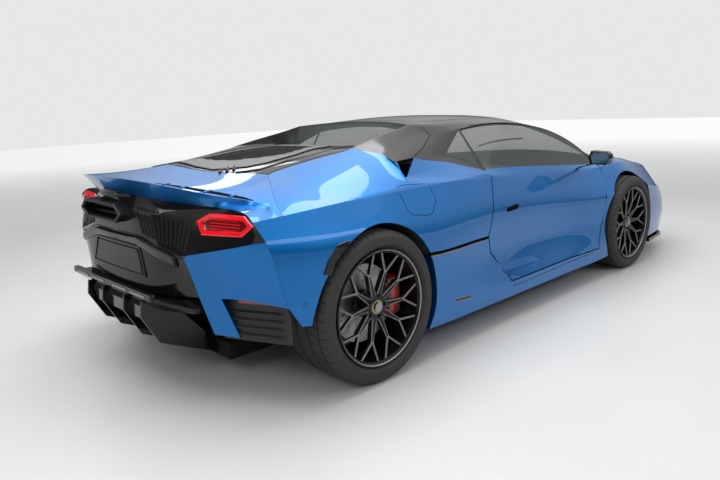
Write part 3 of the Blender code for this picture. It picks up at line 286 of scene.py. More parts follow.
# Body side. Each row is a station, then the inset from the half width and the height of five lines
# that run the length of the car: sill, rocker, waist, flank and shoulder.
SIDE_TABLE = [
    # x      sill          rocker        waist         flank         shoulder
    (-0.64, 0.100, 0.40, 0.080, 0.50, 0.075, 0.60, 0.075, 0.74, 0.125, 0.845),
    (-0.35, 0.042, 0.37, 0.022, 0.46, 0.014, 0.58, 0.013, 0.72, 0.085, 0.865),
    (0.00, 0.023, 0.20, 0.008, 0.36, 0.001, 0.52, 0.004, 0.71, 0.093, 0.875),
    (0.40, 0.033, 0.16, 0.018, 0.25, 0.023, 0.45, 0.023, 0.66, 0.113, 0.875),
    (0.80, 0.043, 0.15, 0.033, 0.24, 0.063, 0.44, 0.053, 0.65, 0.133, 0.865),
    (1.30, 0.048, 0.145, 0.043, 0.235, 0.103, 0.42, 0.083, 0.63, 0.163, 0.835),
    (1.80, 0.048, 0.145, 0.048, 0.235, 0.103, 0.40, 0.083, 0.60, 0.168, 0.800),
    (2.25, 0.043, 0.145, 0.038, 0.230, 0.058, 0.40, 0.043, 0.58, 0.153, 0.775),
    (2.66, 0.048, 0.17, 0.018, 0.300, 0.004, 0.45, 0.013, 0.62, 0.138, 0.785),
    (3.05, 0.068, 0.16, 0.048, 0.260, 0.043, 0.40, 0.053, 0.57, 0.198, 0.745),
    (3.40, 0.128, 0.15, 0.113, 0.240, 0.103, 0.36, 0.128, 0.50, 0.268, 0.670),
    (3.55, 0.188, 0.14, 0.173, 0.230, 0.163, 0.35, 0.198, 0.47, 0.358, 0.625),
]
SIDE_LINES = 5
SIDE_CORNERS = (1,)


def side_section(x):
    """The five side points at a drawn station, from the sill up, on the left."""
    rows = SIDE_TABLE
    k = 0
    while k < len(rows) - 2 and x > rows[k + 1][0]:
        k += 1
    a, b = rows[k], rows[k + 1]
    step = b[0] - a[0]
    f = (x - a[0]) / step
    out = []
    for column in range(1, len(a)):
        before = after = b[column] - a[column]
        if k > 0:
            before = step * (b[column] - rows[k - 1][column]) / (b[0] - rows[k - 1][0])
        if k + 2 < len(rows):
            after = step * (rows[k + 2][column] - a[column]) / (rows[k + 2][0] - a[0])
        out.append((2 * f**3 - 3 * f**2 + 1) * a[column] + (f**3 - 2 * f**2 + f) * before
                   + (3 * f**2 - 2 * f**3) * b[column] + (f**3 - f**2) * after)
    return [Vector((station(x), HALF_WIDTH - out[2 * n], out[2 * n + 1])) for n in range(SIDE_LINES)]


def side_point(x, line):
    """A point of the body side at a drawn station, and at a line from 0, the sill, to 4, the shoulder."""
    points = side_section(x)
    k = min(int(line + 1e-9), SIDE_LINES - 2)
    f = line - k
    a, b = points[k], points[k + 1]
    before = b - a if k == 0 or k in SIDE_CORNERS else (b - points[k - 1]) / 2
    after = b - a if k + 2 == SIDE_LINES or k + 1 in SIDE_CORNERS else (points[k + 2] - a) / 2
    return ((2 * f**3 - 3 * f**2 + 1) * a + (f**3 - 2 * f**2 + f) * before
            + (3 * f**2 - 2 * f**3) * b + (f**3 - f**2) * after)


def cut_at(cut_line, line):
    """Drawn station of a shut line, given as (line, station) pairs, at this line of the body side."""
    for (l0, x0), (l1, x1) in zip(cut_line, cut_line[1:]):
        if line <= l1 + 1e-9:
            return x0 + (x1 - x0) * (line - l0) / (l1 - l0)
    return cut_line[-1][1]


def side_grid(rear_cut, front_cut, lines, along):
    """A grid over the body side between two shut lines, with a row at each of these lines."""
    grid = []
    for line in lines:
        first, last = cut_at(rear_cut, line), cut_at(front_cut, line)
        grid.append([side_point(first + (last - first) * i / along, line) for i in range(along + 1)])
    return grid


# Shut lines on the body side, as (line, station) pairs from the sill up
TAIL_CUT = [(0, -0.44), (1, -0.505), (4, -0.60)]
DECK_CUT = [(0, -0.35), (4, -0.47)]
INTAKE_CUT = [(0, 0.33), (4, 0.33)]
DOOR_REAR_CUT = [(0, 1.12), (1, 1.12), (2, 0.93), (2.6, 0.89), (4, 1.05)]
DOOR_FRONT_CUT = [(0, 2.16), (1, 2.19), (2, 2.25), (3, 2.28), (4, 2.38)]
NOSE_CUT = [(0, 3.08), (1, 3.08), (4, 3.20)]
NOSE_END = [(0, 3.55), (4, 3.55)]
SPLIT = 2.5
LOWER_LINES = (0, 1, 1.5, 2, SPLIT)
SKIRT_LINES = (0, 1, 1.5, 2, SPLIT - 0.07)
UPPER_LINES = (SPLIT, 3, 3.3, 3.6, 3.8, 4)
ALL_LINES = LOWER_LINES + UPPER_LINES[1:]
WING_LINES = (0, 1, 1.5, 2, 3, 4)
DOOR_LINES = (1, 1.5, 2) + UPPER_LINES

# Lines over the top of the car, all on the left
BELT = drawn([(1.05, 0.805, 0.884), (1.40, 0.806, 0.862), (1.90, 0.803, 0.828), (2.40, 0.795, 0.795)])
RAIL = drawn([(1.05, 0.625, 1.118), (1.30, 0.615, 1.137), (1.62, 0.620, 1.125), (1.95, 0.640, 1.075),
              (2.20, 0.675, 0.990), (2.34, 0.735, 0.890), (2.40, 0.795, 0.795)])
SCREEN_BASE = drawn([(2.60, 0.695, 0.822), (2.74, 0.480, 0.828), (2.84, 0.240, 0.838), (2.86, 0, 0.842)])
HEADER = drawn([(1.72, 0.560, 1.137), (1.76, 0.380, 1.163), (1.78, 0.190, 1.176), (1.79, 0, 1.180)])
ROOF_REAR = drawn([(0.75, 0.490, 1.160), (0.80, 0.330, 1.172), (0.84, 0.160, 1.178), (0.85, 0, 1.180)])
BONNET_EDGE = drawn([(2.60, 0.695, 0.822), (2.90, 0.660, 0.785), (3.25, 0.590, 0.700), (3.58, 0.470, 0.585)])
BONNET_NOSE = drawn([(3.58, 0.470, 0.585), (3.63, 0.310, 0.590), (3.65, 0.155, 0.592), (3.655, 0, 0.593)])
DECK_FRONT = drawn([(-0.36, 0.680, 0.935), (-0.22, 0.480, 0.988), (-0.40, 0.290, 0.999),
                    (-0.46, 0.140, 1.020), (-0.48, 0, 1.040)])
DECK_MID = drawn([(-0.42, 0.740, 0.918), (-0.42, 0.560, 0.958), (-0.56, 0.370, 0.984), (-0.64, 0.180, 1.006),
                  (-0.685, 0, 1.020)])
DECK_REAR = drawn([(-0.455, 0.800, 0.893), (-0.620, 0.620, 0.942), (-0.730, 0.440, 0.983),
                   (-0.815, 0.240, 1.012), (-0.880, 0, 1.026)])
SLOT_LOW = drawn([(-0.480, 0.800, 0.879), (-0.600, 0.620, 0.915), (-0.700, 0.440, 0.950),
                  (-0.785, 0.240, 0.980), (-0.850, 0, 1.000)])
TAIL_TOP = drawn([(-0.590, 0.800, 0.882), (-0.603, 0.620, 0.888), (-0.655, 0.440, 0.897),
                  (-0.745, 0.240, 0.922), (-0.815, 0, 0.957)])
PILLAR_TIP, PILLAR_LOW, INTAKE_TOP, SEAM_LOW, SEAM_TOP = drawn([
    (0.27, 0.530, 1.066), (0.36, 0.630, 1.040), (0.33, 0.775, 0.998), (0.50, 0.752, 1.003),
    (0.807, 0.600, 1.098)])
FIN_TOP = [PILLAR_TIP] + drawn([(0.43, 0.515, 1.098), (0.60, 0.500, 1.128)]) + [ROOF_REAR[0]]
WINDOW_LOW = drawn([(0.66, 0.470, 1.045), (0.66, 0.300, 1.038), (0.66, 0.150, 1.036), (0.66, 0, 1.036)])
FIN_FOOT = [PILLAR_TIP] + drawn([(0.42, 0.500, 1.066)]) + [WINDOW_LOW[0], ROOF_REAR[0]]
GLASS_LOW, GLASS_TOP = drawn([(0.80, 0.715, 0.985), (1.05, 0.625, 1.118)])
QUARTER_TOP = DECK_FRONT[:2] + drawn([(0.04, 0.500, 1.034)]) + [PILLAR_TIP, PILLAR_LOW, INTAKE_TOP]
INTAKE_EDGE = drawn([(0.33, 0.835, 0.925), (0.42, 0.825, 0.914), (0.75, 0.840, 0.888), (1.05, 0.835, 0.872)])
BLADE_TOP = [SEAM_LOW] + drawn([(0.80, 0.762, 0.952)]) + [BELT[0]]

panels = {}


def sheet(name, grids, material_name, thickness=SKIN, moves=None, flat=None, both=True):
    """Notes an outer panel's grids for the skin.

    Panels with the same moves value open together. A panel with flat set has its inner face at this
    distance from the car's middle. With both set the panel is made on each side, named for its side.
    """
    if not both:
        grids = [outward(grid) for grid in grids]
        panels[name] = (grids, material_name, thickness, moves, flat, 1)
        return
    grids = [outward(grid) for grid in grids]
    for side_name, side in SIDES.items():
        side_grids = grids if side > 0 else both_sides(grids)[len(grids):]
        panels[f"{name}_{side_name}"] = (
            side_grids, material_name, thickness, moves and f"{moves}_{side_name}", flat, side)


def fender_grids():
    """Side of the front wing, and its top with a crest over the wheel."""
    side = side_grid(DOOR_FRONT_CUT, NOSE_CUT, WING_LINES, 11)
    shoulder = side[-1]
    inner = [RAIL[-1].lerp(BONNET_EDGE[0], i / 3) for i in range(3)] + spline(BONNET_EDGE, 13)[:9]
    crest = [a.lerp(b, 0.5) + Vector((0, 0.01, 0.018 * math.sin(math.pi * i / 11)))
             for i, (a, b) in enumerate(zip(shoulder, inner))]
    return [side, loft([shoulder, crest, inner], 5)]


def quarter_top():
    """Upper edge of the rear quarter, from the deck's corner to the shoulder intake."""
    return spline([side_point(cut_at(DECK_CUT, 4), 4)] + QUARTER_TOP, 13, sharp=(2, 4, 5))


def quarter_grids():
    """Haunch over the rear wheel, and the blade inside the shoulder intake."""
    rear_side = side_grid(TAIL_CUT, DECK_CUT, ALL_LINES, 4)
    haunch = side_grid(DECK_CUT, INTAKE_CUT, ALL_LINES, 12)
    front_side = side_grid(INTAKE_CUT, DOOR_REAR_CUT, UPPER_LINES, 6)
    top = quarter_top()
    swell = [a.lerp(b, 0.45) + Vector((0, 0.010, 0.018)) * math.sin(math.pi * i / 12)
             for i, (a, b) in enumerate(zip(haunch[-1], top))]
    intake = spline(INTAKE_EDGE, 7)
    return [rear_side, haunch, front_side, loft([haunch[-1], swell, top], 5),
            loft([front_side[-1], intake], 2), loft([intake[1:], spline(BLADE_TOP, 6)], 3)]


def bumper_grids():
    """Nose of the car from the wings forward, on the left half."""
    side = side_grid(NOSE_CUT, NOSE_END, WING_LINES, 4)
    nose = [drawn(line) for line in NOSE_LINES]
    front = [spline([row[-1]] + points, 7) for row, points in zip(side, nose)]
    wing = [row[-1] for row in fender_grids()[1]]
    edge = spline(BONNET_EDGE, 13)[8:]
    top = ruled(side[-1], edge, len(wing))
    for row, point in zip(top, wing):
        row[0] = point
    tip = ruled(front[-1], spline(BONNET_NOSE, 7), len(wing))
    return [side, front, top, tip]


# Nose from the side to the middle at the sill, rocker, waist, flank and shoulder heights
NOSE_LINES = [
    [(3.66, 0.56, 0.135), (3.70, 0.28, 0.130), (3.71, 0, 0.130)],
    [(3.68, 0.56, 0.215), (3.72, 0.28, 0.210), (3.735, 0, 0.210)],
    [(3.69, 0.56, 0.285), (3.735, 0.28, 0.285), (3.750, 0, 0.285)],
    [(3.695, 0.56, 0.360), (3.740, 0.28, 0.365), (3.761, 0, 0.370)],
    [(3.68, 0.54, 0.475), (3.735, 0.28, 0.485), (3.752, 0, 0.490)],
    [(3.61, 0.44, 0.578), (3.66, 0.25, 0.583), (3.68, 0, 0.585)],
]


# Black tail panel from the side to the middle, at lamp height, over the plate, and down to the shelf
TAIL_LAMPS = drawn([(-0.610, 0.800, 0.833), (-0.650, 0.560, 0.838), (-0.730, 0.400, 0.850),
                    (-0.790, 0.230, 0.865), (-0.800, 0, 0.870)])
TAIL_PLATE = drawn([(-0.640, 0.800, 0.745), (-0.740, 0.550, 0.695), (-0.765, 0.400, 0.705),
                    (-0.775, 0.230, 0.720), (-0.780, 0, 0.725)])
TAIL_UNDER = drawn([(-0.720, 0.570, 0.600), (-0.770, 0.420, 0.590), (-0.790, 0.260, 0.580),
                    (-0.795, 0, 0.580)])
TAIL_SHELF = drawn([(-0.700, 0.580, 0.510), (-0.760, 0.440, 0.510), (-0.800, 0.280, 0.510),
                    (-0.810, 0, 0.510)])
CORNER_LINES = (1, 1.5, 2, SPLIT, 3, 3.3)
CORNER_MID = drawn([(-0.600, 0.770, 0.512), (-0.620, 0.790, 0.630), (-0.640, 0.800, 0.745)])
FINGER = [drawn([(-0.636, 0.705, 0.511), (-0.700, 0.580, 0.510)]),
          drawn([(-0.600, 0.715, 0.332), (-0.655, 0.600, 0.336)])]


def crease(line):
    """A point of the vertical crease behind the rear wheel."""
    return side_point(cut_at(TAIL_CUT, line), line)


def deck_grids():
    """Left half of the painted deck, and of the face under its lip down to the black tail panel."""
    edge = [side_point(-0.60 + 0.13 * j / 4, 4) for j in range(5)]
    top = [spline([edge[2]] + DECK_REAR, 11), spline([edge[3]] + DECK_MID, 11),
           spline([edge[4]] + DECK_FRONT, 11, sharp=(2,))]
    face = [spline([edge[1]] + SLOT_LOW, 11), spline([edge[0]] + TAIL_TOP, 11)]
    return [top, [top[0]] + face]


def tail_grids():
    """Black tail panel on the left half."""
    upper = [deck_grids()[1][2], spline([crease(3.6)] + TAIL_LAMPS, 11),
             spline([crease(3.3)] + TAIL_PLATE, 11, sharp=(2,))]
    lower = loft([upper[2][4:], spline(TAIL_UNDER, 7), spline(TAIL_SHELF, 7)], 3)
    return [upper, lower]


def corner_grids():
    """Painted corner between the crease and the tail panel, and the finger under it."""
    outer = [crease(line) for line in CORNER_LINES]
    middle = spline(CORNER_MID, len(outer))
    inner = [TAIL_SHELF[0], TAIL_SHELF[0].lerp(TAIL_UNDER[0], 0.5), TAIL_UNDER[0],
             TAIL_UNDER[0].lerp(TAIL_PLATE[1], 0.33), TAIL_UNDER[0].lerp(TAIL_PLATE[1], 0.67), TAIL_PLATE[1]]
    plate = tail_grids()[0][2]
    rows = [[outer[k], outer[k].lerp(middle[k], 0.5), middle[k], middle[k].lerp(inner[k], 0.5), inner[k]]
            for k in range(len(outer))]
    rows[-1] = plate[:5]
    return [rows, loft([[rows[0][3], rows[0][4]], FINGER[1]], 3)]


def glasshouse():
    """Notes the windscreen, roof, rear pillars and side glass."""
    header = whole(HEADER)
    middle = whole(drawn([(2.17, 0.612, 1.008), (2.23, 0.410, 1.038), (2.27, 0.200, 1.050),
                          (2.285, 0, 1.054)]))
    screen = loft([header, middle, whole(SCREEN_BASE)], 9)
    sheet("windscreen", [screen], "tinted_glass", GLASS, both=False)
    top = whole(drawn([(1.25, 0.595, 1.141), (1.25, 0.420, 1.178), (1.25, 0.210, 1.196), (1.25, 0, 1.201)]))
    roof = loft([header, top, whole(ROOF_REAR)], 7)
    rail = spline(RAIL, 13)
    pillar = ruled([row[0] for row in screen], rail[4:], 4)
    cant = ruled([row[0] for row in roof], rail[4::-1] + [GLASS_TOP.lerp(SEAM_TOP, 0.5), SEAM_TOP], 4)
    sheet("roof", [roof] + both_sides([pillar, cant]), "gloss_black", 0.016, both=False)
    sheet("door_glass", [loft([spline(BELT, 13), rail], 4)], "tinted_glass", GLASS, "door")
    fin = [[PILLAR_TIP, PILLAR_LOW, INTAKE_TOP, SEAM_LOW],
           [PILLAR_TIP] + drawn([(0.42, 0.590, 1.068), (0.56, 0.650, 1.060)]) + [SEAM_TOP], FIN_TOP, FIN_FOOT]
    blade = spline(BLADE_TOP, 6)
    strip = [SEAM_LOW, SEAM_LOW.lerp(GLASS_LOW, 0.5), GLASS_LOW] + [GLASS_LOW.lerp(BELT[0], k / 3)
                                                                    for k in (1, 2, 3)]
    fin = [spline(row, 7, sharp=(1, 2) if row in (fin[0], FIN_FOOT) else ()) for row in fin]
    sheet("rear_pillar", [fin, [strip[:3], [SEAM_TOP, SEAM_TOP.lerp(GLASS_TOP, 0.5), GLASS_TOP]],
                          [blade, strip]], "gloss_black")
    sheet("quarter_glass", [[strip[2:], [GLASS_TOP] * 4]], "tinted_glass", GLASS)


def bonnet_grid():
    """The bonnet over its whole width, from the windscreen base to the nose, a little crowned."""
    edge = spline(BONNET_EDGE, 13)
    spine = spline([SCREEN_BASE[-1]] + drawn([(3.10, 0, 0.775), (3.40, 0, 0.690)]) + [BONNET_NOSE[-1]], 13)
    rows = []
    for k, (a, c) in enumerate(zip(edge, spine)):
        row = [a]
        for j in (1, 2):
            rear = SCREEN_BASE[j] - SCREEN_BASE[0].lerp(SCREEN_BASE[-1], j / 3)
            front = BONNET_NOSE[j] - BONNET_NOSE[0].lerp(BONNET_NOSE[-1], j / 3)
            crown = Vector((0, 0, 0.012 * math.sin(math.pi * k / 12)))
            row.append(a.lerp(c, j / 3) + rear.lerp(front, k / 12) + crown)
        rows.append(whole(row + [c]))
    return rows


def fin_foot():
    """Foot of the fin beside the engine cover and the rear window."""
    return spline(FIN_FOOT, 7, sharp=(1, 2))


def cover_grid():
    """The engine cover over its whole width, from the deck to the foot of the rear window."""
    side_edge = quarter_top()[4:9] + fin_foot()[2:4]
    ridge = spline([DECK_FRONT[2]] + drawn([(-0.05, 0.300, 1.030), (0.27, 0.300, 1.060)]), 5)
    middle = spline([DECK_FRONT[4]] + drawn([(-0.10, 0, 1.050), (0.27, 0, 1.062)]), 5)
    ridge += drawn([(0.42, 0.280, 1.060), (0.54, 0.280, 1.056)])
    middle += drawn([(0.42, 0, 1.060), (0.54, 0, 1.053)])
    rows = [whole([a, b, b.lerp(c, 0.5), c]) for a, b, c in zip(side_edge, ridge, middle)]
    rows[0] = whole(deck_grids()[0][2][4:])
    return rows


def lay_out_panels():
    """Notes every outer panel."""
    sheet("front_fender", fender_grids(), "body_paint")
    door_side = side_grid(DOOR_REAR_CUT, DOOR_FRONT_CUT, DOOR_LINES, 12)
    sheet("door", [door_side, loft([door_side[-1], spline(BELT, 13)], 2)], "body_paint", moves="door",
          flat=DOOR_INNER)
    sheet("rear_quarter", quarter_grids(), "body_paint")
    skirt = side_grid(INTAKE_CUT, DOOR_REAR_CUT, SKIRT_LINES, 6)
    sill = side_grid(DOOR_REAR_CUT, DOOR_FRONT_CUT, (0, 1), 12)
    sheet("side_skirt", [skirt, sill], "body_paint", flat=SKIRT_INNER)
    glasshouse()
    sheet("bonnet", [bonnet_grid()], "body_paint", DECK, "bonnet", both=False)
    for name, grids, material_name in (("front_bumper", bumper_grids(), "body_paint"),
                                       ("rear_bumper", tail_grids(), "gloss_black"),
                                       ("tail_deck", deck_grids(), "body_paint")):
        sheet(name, both_sides(grids), material_name, LIP if name == "tail_deck" else SKIN, both=False)
    sheet("rear_corner", corner_grids(), "body_paint")
    cover = cover_grid()
    sheet("engine_cover", [cover], "gloss_black", 0.016, "engine_cover", both=False)
    sheet("rear_screen", [[cover[-1], whole(WINDOW_LOW), whole(ROOF_REAR)]], "tinted_glass", GLASS,
          both=False)


def outward(grid):
    """The grid with its faces turned away from the middle of the car."""
    total = 0
    for low, high in zip(grid, grid[1:]):
        for i in range(len(low) - 1):
            normal = (high[i + 1] - low[i]).cross(high[i] - low[i + 1])
            middle = (low[i] + high[i + 1]) / 2
            core = Vector((min(max(middle.x, station(-0.3)), station(3.2)), 0, 0.5))
            total += normal.dot(middle - core)
    return grid if total > 0 else [row[::-1] for row in grid]


def grainy(name, light, dark, roughness, metallic=0.0, coat=0.0, scale=60.0, height=0.0, spread=0.08,
           shine=0.5):
    """A finish whose colour and roughness vary a little in clouds, with a fine grain in its surface."""
    made, start, inputs = finish(name)
    cloud = noise(start, 5.0, 4)
    grain = noise(start, scale, 3, 0.6)
    wire(inputs, "Base Color", (cloud * 0.6 + grain * 0.4).mix(dark, light))
    wire(inputs, "Roughness", roughness - spread / 2 + cloud * spread * 0.6 + grain * spread * 0.4)
    wire(inputs, "Metallic", metallic)
    wire(inputs, "Specular IOR Level", shine)
    wire(inputs, "Coat Weight", coat)
    if height:
        wire(inputs, "Normal", bump(start, grain, height))
    return made


def painted(name, deep, bright):
    """Metallic paint under clear lacquer: fine flakes of unlike brightness, and a faint waviness."""
    made, start, inputs = finish(name)
    place = start.node("ShaderNodeTexCoord", out="Object")
    flakes = start.node("ShaderNodeTexVoronoi", None, {"Vector": place, "Scale": 1400.0}, out="Color")
    spark = start.node("ShaderNodeSeparateColor", None, {0: flakes})
    cloud = noise(start, 2.2, 2)
    wire(inputs, "Base Color", (spark * 0.55 + cloud * 0.45).mix(deep, bright))
    wire(inputs, "Roughness", 0.36 + spark * 0.10)
    wire(inputs, "Metallic", 0.88)
    wire(inputs, "Coat Weight", 1.0)
    wire(inputs, "Coat IOR", 1.33)
    wire(inputs, "Coat Roughness", 0.03)
    wire(inputs, "Normal", bump(start, noise(start, 160.0, 2), 0.00002, 0.6))
    return made


def glazing(name, tint, see_through):
    """Tinted glass with the faint smears of a wiped pane."""
    made, start, inputs = finish(name)
    smear = noise(start, 9.0, 5, 0.65)
    wire(inputs, "Base Color", smear.mix(tint, [c * 1.7 + 0.004 for c in tint]))
    wire(inputs, "Roughness", 0.015 + smear * 0.03)
    wire(inputs, "IOR", 1.52)
    wire(inputs, "Coat Weight", 0.6)
    wire(inputs, "Alpha", see_through)
    return made


blue_paint = painted("blue_metallic_paint", (0.000, 0.100, 0.31), (0.000, 0.190, 0.58))
piano_black = grainy("piano_black_lacquer", (0.006, 0.006, 0.007), (0.003, 0.003, 0.003), 0.12, coat=0.20,
                     scale=220, height=0.00001, shine=0.32)
satin_black = grainy("satin_black_moulding", (0.018, 0.018, 0.019), (0.008, 0.008, 0.009), 0.48, scale=900,
                     height=0.0001, spread=0.16)
side_glass = glazing("tinted_side_glass", (0.040, 0.052, 0.048), 0.34)
front_glass = glazing("tinted_windscreen", (0.030, 0.040, 0.038), 0.34)
SHELLS = {"body_paint": blue_paint, "gloss_black": piano_black, "tinted_glass": side_glass}


def skin_cage():
    """Every panel's faces in one welded mesh, creased at sharp edges, each marked with its panel's number."""
    cage = bmesh.new()
    tag = cage.faces.layers.int.new("panel")
    for number, (grids, *_) in enumerate(panels.values()):
        for grid in grids:
            verts = [[cage.verts.new(p) for p in row] for row in grid]
            for low, high in zip(verts, verts[1:]):
                for i in range(len(low) - 1):
                    cage.faces.new((low[i], low[i + 1], high[i + 1], high[i]))[tag] = number
    bmesh.ops.remove_doubles(cage, verts=cage.verts[:], dist=0.0008)
    cage.normal_update()
    creased = cage.edges.layers.float.new("crease_edge")
    for edge in cage.edges:
        bend = math.degrees(edge.calc_face_angle(0)) if len(edge.link_faces) == 2 else 0
        edge[creased] = min(max((bend - 16) / 16, 0), 1)
    corner = cage.verts.layers.float.new("crease_vert")
    for vert in cage.verts:
        rim = [e.other_vert(vert).co - vert.co for e in vert.link_edges if len(e.link_faces) == 1]
        if len(rim) == 2 and math.pi - rim[0].angle(rim[1]) > math.radians(28):
            vert[corner] = 1
    return cage


def subdivided(cage, levels):
    """The cage after this many rounds of Catmull-Clark subdivision."""
    mesh = bpy.data.meshes.new("skin_cage")
    cage.to_mesh(mesh)
    cage.free()
    skin = bpy.data.objects.new("skin_cage", mesh)
    bpy.context.scene.collection.objects.link(skin)
    bpy.ops.object.select_all(action="DESELECT")
    skin.select_set(True)
    bpy.context.view_layer.objects.active = skin
    step = skin.modifiers.new("smooth", "SUBSURF")
    step.levels = step.render_levels = levels
    step.boundary_smooth = "PRESERVE_CORNERS"
    bpy.ops.object.modifier_apply(modifier="smooth")
    smooth = bmesh.new()
    smooth.from_mesh(skin.data)
    bpy.data.objects.remove(skin)
    smooth.normal_update()
    return smooth


def edge_gap(edge, tag, moves):
    """Half gap of a seam, or the full shut gap on the moving side of one where a panel opens."""
    faces = edge.link_faces
    others = {list(panels.values())[face[tag]][3] for face in faces}
    if moves is None or others == {moves} and len(faces) > 1:
        return SEAM
    bend = faces[0].normal.dot(faces[-1].normal)
    return SHUT_GAP / max(math.sqrt(max(1 + bend, 0) / 2), 0.5)


def edge_shift(ways):
    """The move of an edge vertex that takes it this far from each of its open edges."""
    (first, g1), (second, g2) = ways[0], ways[-1]
    across = first.dot(second)
    if across > 0.9:
        return (first + second) * max(g1, g2) / (1 + across)
    spread = max(1 - across * across, 0.08)
    return first * (g1 - g2 * across) / spread + second * (g2 - g1 * across) / spread


def shell_piece(skin, tag, number, name, thickness, moves, flat, side, finishes):
    """One panel from the skin: outer face, rim, and an inner face one thickness in."""
    faces = [f for f in skin.faces if f[tag] == number and f.calc_area() > 1e-8]
    uses, ways = {}, {}
    for face in faces:
        for edge in face.edges:
            uses[edge] = uses.get(edge, 0) + 1
    for face in faces:
        for loop in face.loops:
            if uses[loop.edge] == 1:
                far = loop.link_loop_next.vert
                way = face.normal.cross(far.co - loop.vert.co).normalized()
                gap = edge_gap(loop.edge, tag, moves)
                for vert in (loop.vert, far):
                    ways.setdefault(vert, []).append((way, gap))
    made = bmesh.new()
    outer_of, inner_of = {}, {}
    for vert in {v: None for f in faces for v in f.verts}:
        normal = sum((l.face.normal * l.calc_angle() for l in vert.link_loops), Vector()).normalized()
        lean = max(min(normal.dot(f.normal) for f in vert.link_faces if f[tag] == number), 0.55)
        place = vert.co + (edge_shift(ways[vert]) if vert in ways else Vector())
        if flat is not None:
            back = DOOR_TAPER * (station(DOOR_HINGE[0]) - place.x) - DOOR_FRONT_INSET if moves else 0
            under = Vector((place.x + back, side * flat, place.z))
        elif moves == name:
            under = place - Vector((0, 0, thickness))
        else:
            under = place - normal * thickness / lean
        outer_of[vert] = made.verts.new(place)
        inner_of[vert] = made.verts.new(under)
    for face in faces:
        made.faces.new([outer_of[v] for v in face.verts])
        made.faces.new([inner_of[v] for v in reversed(face.verts)]).material_index = 1
        for loop in face.loops:
            if uses[loop.edge] == 1:
                a, b = loop.vert, loop.link_loop_next.vert
                made.faces.new((outer_of[b], outer_of[a], inner_of[a], inner_of[b]))
    return mesh_piece(name + "_shell", made, finishes)


PANEL_BEND = 32
TRIM_BEND = 30
TURNED_BEND = 28


def shade(mesh, bend=PANEL_BEND):
    """Shades a mesh smooth up to this bend in degrees between faces."""
    mesh.shade_smooth()
    mesh.set_sharp_from_angle(angle=math.radians(bend))


def mesh_piece(name, made, finishes, bend=PANEL_BEND):
    """A piece from a bmesh, shaded smooth up to this bend between faces."""
    mesh = bpy.data.meshes.new(name)
    made.to_mesh(mesh)
    made.free()
    shade(mesh, bend)
    for one in finishes:
        mesh.materials.append(one)
    piece = bpy.data.objects.new(name, mesh)
    bpy.context.scene.collection.objects.link(piece)
    return piece


def cut_out(piece, other, crossing=False):
    """Cuts another piece, which may be of blocks that cross, out of this one, and removes it."""
    step = piece.modifiers.new("cut", "BOOLEAN")
    step.operation, step.object, step.solver, step.use_self = "DIFFERENCE", other, "EXACT", crossing
    made = bpy.data.meshes.new_from_object(piece.evaluated_get(bpy.context.evaluated_depsgraph_get()))
    piece.modifiers.clear()
    piece.data = made
    bpy.data.objects.remove(other)


def fix(pieces, body, replaced=None):
    """Fixes pieces to a body, and hides the solid that they replace."""
    for piece in pieces if isinstance(pieces, list) else [pieces]:
        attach(piece, body)
        if replaced:
            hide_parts(replaced)


def prism(name, outline, depth):
    """A block from a flat outline of points, pushed along the vector depth."""
    made = bmesh.new()
    first = [made.verts.new(p) for p in outline]
    second = [made.verts.new(Vector(p) + Vector(depth)) for p in outline]
    made.faces.new(first)
    made.faces.new(second[::-1])
    for i in range(len(outline)):
        j = (i + 1) % len(outline)
        made.faces.new((first[j], first[i], second[i], second[j]))
    bmesh.ops.recalc_face_normals(made, faces=made.faces[:])
    return mesh_piece(name, made, [], TRIM_BEND)


def wheel_well(x, radius, size, side):
    """The cutter of a wheel arch."""
    bpy.ops.object.select_all(action="DESELECT")
    bpy.ops.mesh.primitive_cylinder_add(vertices=144, radius=radius, depth=0.7, rotation=(math.pi / 2, 0, 0),
                                        location=(x, side * 0.85, size["tyre_r"]))
    return bpy.context.object


lay_out_panels()
skin = subdivided(skin_cage(), 2)
panel_tag = skin.faces.layers.int["panel"]
CAD_BODY = {node: body for body, nodes in frame["record"]["behaviour"]["bodies"].items() for node in nodes}
shells = {}
for number, (name, (_, coat, thickness, moves, flat, side)) in enumerate(panels.items()):
    inner = SHELLS[coat] if coat == "tinted_glass" else satin_black
    piece = shell_piece(skin, panel_tag, number, name, thickness, moves, flat, side, [SHELLS[coat], inner])
    shells[name] = piece
skin_tree = BVHTree.FromBMesh(skin)

for side_name, side in SIDES.items():
    for name, x, size, radius in (("front_fender", FRONT_AXLE_X, FRONT_WHEEL, FRONT_ARCH_R),
                                  ("side_skirt", FRONT_AXLE_X, FRONT_WHEEL, FRONT_ARCH_R),
                                  ("side_skirt", REAR_AXLE_X, REAR_WHEEL, REAR_ARCH_R),
                                  ("rear_quarter", REAR_AXLE_X, REAR_WHEEL, REAR_ARCH_R)):
        cut_out(shells[f"{name}_{side_name}"], wheel_well(x, radius, size, side))
        shade(shells[f"{name}_{side_name}"].data)
for name in ("windscreen", "rear_screen"):
    shells[name].data.materials.clear()
    for _ in range(2):
        shells[name].data.materials.append(front_glass)
for name, piece in shells.items():
    fix(piece, CAD_BODY[name], name)


